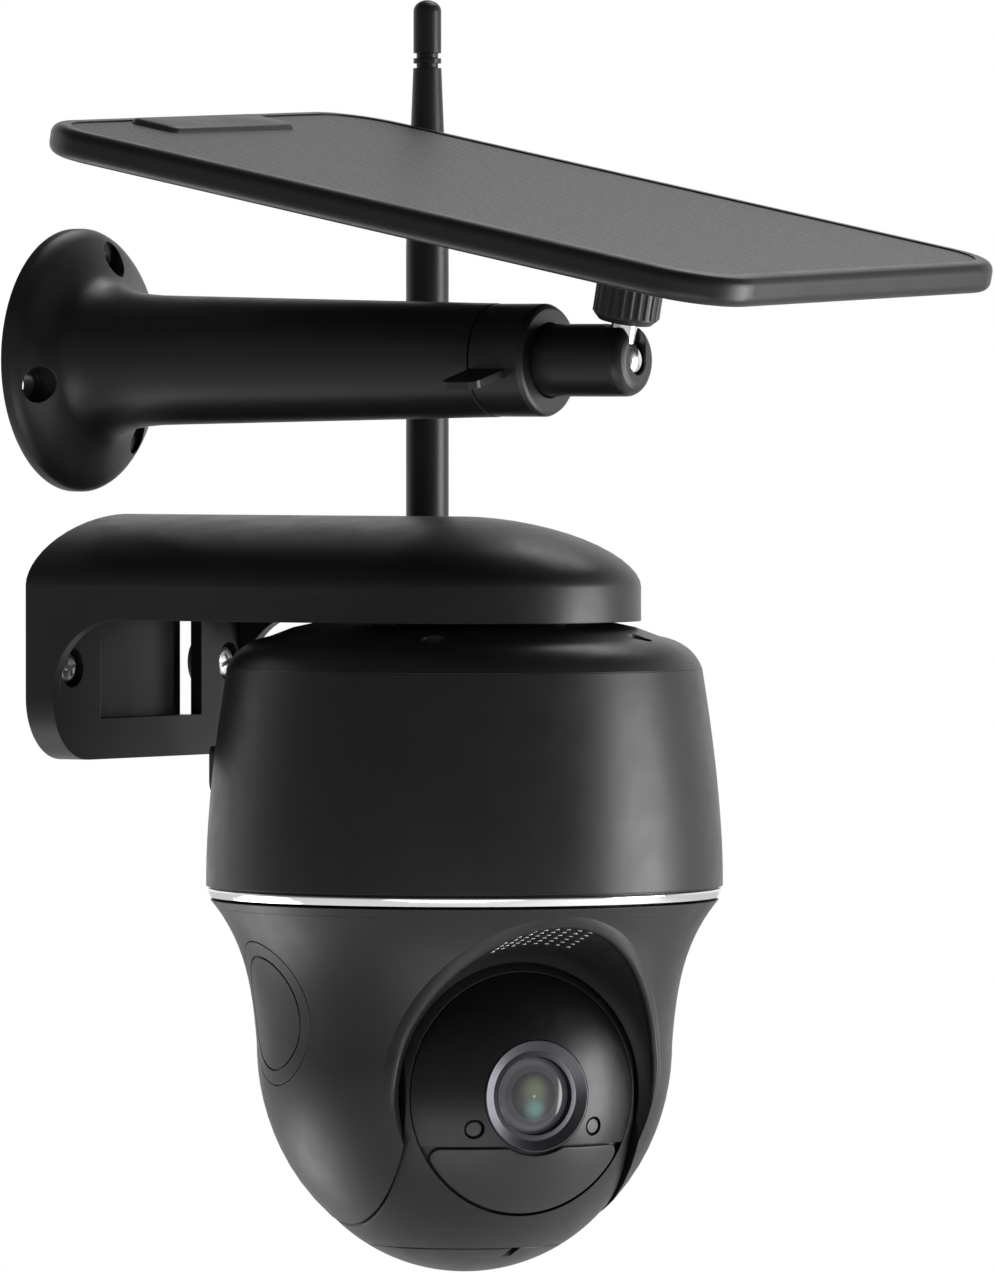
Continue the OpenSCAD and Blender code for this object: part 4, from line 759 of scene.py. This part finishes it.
def flare(height, top):
    """Radius of the shell at a height above the tilt axis: an elliptic bowl up to the
    waist, from which it opens out by 3.2 t^1.2 and the rest of the way by t^3.4, t running
    from 0 there to 1 at the top."""
    t = np.clip((height - FLARE["waist_up"]) / (top - FLARE["waist_up"]), 0, 1)
    sunk = np.clip((FLARE["waist_up"] - height) / FLARE["bowl"], 0, 1)
    rest = FLARE["top"] - FLARE["waist"] - FLARE["first"]
    return FLARE["waist"] * np.sqrt(1 - sunk ** 2) + FLARE["first"] * t ** 1.2 + rest * t ** 3.4


def funnel_points(angles, depth, lift=0.0):
    """Points on the funnel, lifted outwards, in the lens's frame."""
    r = funnel(depth) + lift
    return np.stack([r * np.cos(angles), r * np.sin(angles), depth + 0 * r], -1)


def edge_depth(angles, top, lift=0.0, limit=math.inf):
    """Depth at which the funnel, lifted outwards, meets the shell's outer surface, or the
    limit where that comes first. The depth and the shell's own depth at that point are
    averaged until they agree."""
    depth = np.full(len(angles), 30.0)
    for _ in range(60):
        x, y = funnel_points(angles, depth, lift).T[:2]
        shell = np.sqrt(np.maximum(flare(y, top) ** 2 - x ** 2, 1))
        depth = (depth + np.minimum(shell, limit)) / 2
    return depth


def unit(vectors):
    """Vectors of length 1 in the same directions."""
    return vectors / np.linalg.norm(vectors, axis=-1, keepdims=True)


def brow_lip(width, rise):
    """Rounded lip along the edge where the brow's funnel meets the shell's outer surface.
    A section comes up out of the outer surface at its width from the edge and climbs from
    a third of the rise to the whole of it by 1 - e^2, e being the share of the way to the
    edge that is left. It goes round the edge as an arc about a point set inside it, falls
    along the funnel as rise (1 - e^2), e now the share of the way gone, and dips under it.
    The rise fades to nothing at both ends of the lip."""
    top = extent("pan_shell", LENS)[1][1]
    degrees = np.linspace(-12, 192, 205)
    angles = np.radians(degrees)
    depth = edge_depth(angles, top)
    edge = funnel_points(angles, depth)
    x, y, z = edge.T
    along = unit(np.gradient(edge, axis=0))

    # the two surfaces' normals at the edge, and the ways along them that lead off it
    steep = (flare(y + STEP, top) - flare(y - STEP, top)) / (2 * STEP)
    opening = (funnel(depth + STEP) - funnel(depth - STEP)) / (2 * STEP)
    shell_out = unit(np.column_stack([x / np.hypot(x, z), -steep, z / np.hypot(x, z)]))
    hole_in = unit(np.column_stack([-x / np.hypot(x, y), -y / np.hypot(x, y), opening]))
    over, down = np.cross(along, shell_out), np.cross(along, hole_in)
    over *= -np.sign((over * hole_in).sum(1))[:, None]
    down *= -np.sign((down * shell_out).sum(1))[:, None]

    inset, hidden = 0.55, 0.08  # the arc's centre behind the edge; the faded lip under the surface
    below, inner_width = 0.5, 1.3  # how far a section's ends dip; its width inside the funnel
    shell_bend = 85  # twice the radius with which the shell falls away from the edge
    fade = np.clip((102 - abs(degrees - 90)) / 26, 0, 1)[:, None]
    fade = fade * fade * (3 - 2 * fade)
    lift = (rise + hidden) * fade - hidden
    border = (rise + hidden) / 3 * fade - hidden
    half = np.arccos(np.clip((over * down).sum(1), -1, 1))[:, None] / 2
    bend = np.arccos(np.clip((shell_out * hole_in).sum(1), -1, 1))[:, None]
    foot = inset * np.cos(half)
    rows = [edge + over * width - shell_out * below]
    for e in np.linspace(1, 0, 8):
        away = foot + (width - foot) * e
        up = lift * (1 - e * e) + border * e * e - away ** 2 / shell_bend
        rows.append(edge + over * away + shell_out * up)
    for t in np.linspace(0, 1, 9)[1:-1]:
        out = (shell_out * np.sin((1 - t) * bend) + hole_in * np.sin(t * bend)) / np.sin(bend)
        rows.append(edge + unit(over + down) * inset + out * (inset * np.sin(half) + lift))
    for e in np.linspace(0, 1, 6):
        rows.append(edge + down * (foot + inner_width * e) + hole_in * (lift * (1 - e * e) - 0.1 * e * e))
    rows.append(edge + down * (foot + inner_width) - hole_in * below)
    piece("brow_lip", [(np.array(rows), True, False)], LENS, "pan_head", "shell_black", sharp=60)


def grille_band(pitch, hole):
    """Speaker grille: a band of the brow's funnel that ends flush with the shell's outer surface, with rows
    of holes, each with a crescent raised along its outer side. The holes are not cut: dull rubber discs on
    the band stand in for their dark insides, as painted shade."""
    low, high = extent("speaker_grille", LENS)
    top = extent("pan_shell", LENS)[1][1]
    near, far, thick, proud, half_angle = low[2] - 0.25, high[2] + 0.25, 1.4, 0.02, 24.5
    angles = np.radians(np.linspace(90 - half_angle, 90 + half_angle, 73))
    sides = []
    for lift, rows in ((proud, np.linspace(0, 1, 24)), (thick, np.linspace(1, 0, 12))):
        end = edge_depth(angles, top, lift, far) + proud
        sides.append(np.array([funnel_points(angles, near + (end - near) * t, lift) for t in rows]))
    front, back = sides
    ends = [np.stack([front[:, k], back[::-1, k].repeat(2, 0)]) for k in (0, -1)]
    piece("grille_plate", [(np.concatenate(sides), True, False)] + [(end, False, False) for end in ends],
          LENS, "pan_head", "satin_black", "shell_black", ("speaker_grille",))

    middle, row_share, margin = (near + far) / 2 - 1.6, 0.87, 1.0
    outer = edge_depth(angles, top, 0.0, far)
    centres, axes = [], []
    for row in range(-2, 4):
        for k in range(-4, 4):
            depth = middle + row * pitch * row_share
            angle = math.pi / 2 - math.atan(k * pitch / funnel(depth))
            if depth < np.interp(angle, angles, outer) - margin:
                axes.append(np.array([math.cos(angle), math.sin(angle), -BROW["slope"]]))
                centres.append(funnel_points(angle, depth) - proud * axes[-1])
    rims = [(rim, False, True) for rim in crescents(centres, axes, hole, 0.2 * hole)]
    # painted shade: a dull rubber disc in each hole stands for the shade inside it
    hole_shade = turned([(0.001, 0), (hole - 0.06, 0), (hole - 0.04, 0.3), (0.001, 0.3)], 14)
    hole_shades = [(carried(hole_shade, frame_on(centre, (1, 0.01, 0), axis)), False, True)
             for centre, axis in zip(centres, axes)]
    piece("grille_rims", rims, LENS, "pan_head", "steel", sharp=80)
    piece("grille_wells", hole_shades, LENS, "pan_head", "rubber")


class SECCAM_OT_pan_shell(bpy.types.Operator):
    """Turning shell with its brow, cheek covers, grille and drive"""
    bl_idname = "seccam.pan_shell"
    bl_label = "Pan shell"

    def execute(self, context):
        sizes = context.scene.seccam_sizes
        recast("shell_moulding", "pan_shell", "pan_head", "shell_black")
        recast("cheek_covers", "side_covers", "pan_head", "shell_black")
        grille_band(sizes.grille_pitch / MM, sizes.grille_hole / MM)
        brow_lip(sizes.lip_width / MM, sizes.lip_rise / MM)
        dress("satin_black", "pan_deck", "speaker")
        dress("white_plastic", "pan_gear")
        dress("steel", "pan_clip", "tilt_motor")
        dress("brass", "tilt_bushes", "tilt_pinion")
        return {"FINISHED"}


class SECCAM_OT_head(bpy.types.Operator):
    """Tilting head: shells, glossy face, windows and lens"""
    bl_idname = "seccam.head"
    bl_label = "Tilting head"

    def execute(self, context):
        sizes = context.scene.seccam_sizes
        dress("shell_black", "head_front", "head_rear", "head_lid")
        dress("gloss_black", "face_panel")
        self.windows(sizes.window_joint / MM, sizes.pane_edge / MM)
        self.lens(sizes.ring_bevel / MM, sizes.lens_depth / MM)
        dress("satin_black", "lens_barrel")
        dress("board", "sensor_board")
        dress("steel", "tilt_shafts")
        dress("white_plastic", "tilt_gear")
        return {"FINISHED"}

    def lens(self, bevel, depth):
        """Lens ring with a hollow bevel, and the domed glass inside it, which falls from its
        middle by the square of its radius."""
        low, high = extent("lens_bezel", LENS)
        outer, front, back, glass = high[0], high[2], low[2], reach("lens_glass", LENS)
        bore = glass + 0.05
        profile = rounded([(bore, back), (outer, back), (outer, front - 0.1), (outer - 0.2, front),
                           (outer - 2.05, front - bevel), (glass + 0.1, front - 0.7), (bore, front - 2.3),
                           (bore, back)], [0.1, 0.08, 0.08, 0.06, 0.1, 0, 0])
        piece("lens_surround", [(turned(profile, 160), False, True)], LENS, "tilt_head",
              "satin_black", "lens_ring", ("lens_bezel",))
        top, domed, thick = front - depth, 1.0, 2.0
        dome = [(glass * t, top - domed * t ** 2) for t in np.linspace(0.001, 1, 24)]
        dome += [(glass, top - thick), (0.001, top - thick)]
        piece("lens_front", [(turned(dome), False, True)], LENS, "tilt_head", "lens_glass",
              stands_for=("lens_glass",))

    def windows(self, joint, edge):
        """Lower window with round corners and a notch under the lens, and two round
        windows, all with an open joint round them and a dark gasket behind."""
        notch_joint, top_joint, round_joint = 0.75, 0.1, 0.28
        ball = float(np.linalg.norm(points_in("face_panel", LENS), axis=1).max())
        ring, rim = reach("lens_bezel", LENS), reach("lower_window", LENS) - joint
        notch, top = ring + notch_joint, extent("lower_window", LENS)[1][1] - top_joint
        corner, bite = math.acos(-top / rim), math.acos(-top / notch)
        right, left = rim * math.sin(corner), notch * math.sin(bite)

        def arc(r, half, count):
            """Arc about the lens axis, from -half to half measured from straight down."""
            turn = np.linspace(-half, half, count)
            return r * np.column_stack([np.sin(turn), -np.cos(turn)])

        # round the rim from left to right, then back along the top edge and round the notch;
        # the arcs and the edge stop short of the corners, which leaves room to round them
        low_arc, high_arc = arc(rim, corner - 0.16, 61), arc(notch, bite - 0.05, 21)
        steps = [(x, top) for x in np.linspace(right - 3.2, left + 1, 12)]
        path = [*low_arc, (right, top), *steps, (left, top), *high_arc[::-1],
                (-left, top), *[(-x, y) for x, y in steps[::-1]], (-right, top), low_arc[0]]
        straight, rim_corner, notch_corner = [0] * len(steps), [1.5], [0.5]
        radii = ([0] * (len(low_arc) - 1) + rim_corner + straight + notch_corner
                 + [0] * len(high_arc) + notch_corner + straight + rim_corner)
        pane = plate(rounded(path, radii)[:-1], np.array([0, (top - rim) / 2]), ball, edge, thick=1.2)
        piece("lower_pane", [(pane, False, True)], LENS, "tilt_head", "window_grey",
              stands_for=("lower_window",), sharp=50)

        panes, points = [], points_in("small_windows", LENS)
        around, sunk = np.radians(np.arange(0, 360, 10)), 0.3
        for side in (points[points[:, 0] > 0], points[points[:, 0] < 0]):
            first, last = side.min(0), side.max(0)
            middle, radius = (first[:2] + last[:2]) / 2, (last - first)[0] / 2 - round_joint
            circle = middle + radius * np.column_stack([np.cos(around), np.sin(around)])
            panes.append((plate(circle, middle, ball - sunk, edge=0.15, thick=0.8), False, True))
        piece("round_panes", panes, LENS, "tilt_head", "gloss_black", "window_grey", ("small_windows",), 50)

        # the gasket lies 1.3 to 1.5 mm under the face, from under the lens ring to past the rim
        wide = np.linspace(ring - 0.1, rim + 0.3, 14)
        seat = [(r, math.sqrt((ball - under) ** 2 - r ** 2))
                for under, line in ((1.3, wide), (1.5, wide[::-1])) for r in line]
        piece("window_gasket", [(turned(seat), True, True)], LENS, "tilt_head", "rubber")


class SECCAM_OT_solar(bpy.types.Operator):
    """Solar arm, collar, socket, ball stud, nut and panel"""
    bl_idname = "seccam.solar"
    bl_label = "Solar panel"

    def execute(self, context):
        recast("arm_moulding", "solar_arm", "root", "satin_black")
        dress("satin_black", "lock_collar", "socket_tube", "jam_nut", "panel_tray", "cable_gland")
        low, high = extent("panel_plaque", STEM)
        wide, deep, rise = high - low
        short, narrow, aside = context.scene.seccam_sizes.plaque_short / MM, 1, 5.6
        lid = bulged(wide - short, deep - narrow, corner=2.4, rise=rise)
        lid += ((low[0] + high[0]) / 2 - aside, (low[1] + high[1]) / 2, low[2])
        piece("plaque", [(lid, False, True)], STEM, "solar_panel", "satin_black", "plaque_black",
              ("panel_plaque",), 50)
        dress("chrome", "ball_stud")
        dress("solar_cells", "solar_laminate")
        return {"FINISHED"}


OPERATORS = (SECCAM_OT_stage, SECCAM_OT_bracket, SECCAM_OT_housing, SECCAM_OT_antenna,
             SECCAM_OT_pan_shell, SECCAM_OT_head, SECCAM_OT_solar)


class SECCAM_PT_panel(bpy.types.Panel):
    """Lists the pieces in the order in which they are made"""
    bl_label = "Security camera"
    bl_idname = "SECCAM_PT_panel"
    bl_space_type = "VIEW_3D"
    bl_region_type = "UI"
    bl_category = "Camera"

    def draw(self, context):
        for operator in OPERATORS:
            self.layout.operator(operator.bl_idname)
        for name in GROUPS:
            group, box = getattr(context.scene, name), self.layout.box()
            for key in group.bl_rna.properties.keys():
                if key not in ("rna_type", "name"):
                    box.prop(group, key)


GROUPS = {"seccam_colours": SECCAM_PG_colours, "seccam_sizes": SECCAM_PG_sizes,
          "seccam_stage": SECCAM_PG_stage}
CLASSES = (*GROUPS.values(), *OPERATORS, SECCAM_PT_panel)


def register():
    for made in CLASSES:
        bpy.utils.register_class(made)
    for name, group in GROUPS.items():
        setattr(bpy.types.Scene, name, PointerProperty(type=group))


def unregister():
    for name in GROUPS:
        delattr(bpy.types.Scene, name)
    for made in reversed(CLASSES):
        bpy.utils.unregister_class(made)


def main():
    register()
    for operator in OPERATORS:
        group, name = operator.bl_idname.split(".")
        if getattr(getattr(bpy.ops, group), name)() != {"FINISHED"}:
            raise RuntimeError(f"{operator.bl_label} could not be made")


if __name__ == "__main__":
    main()
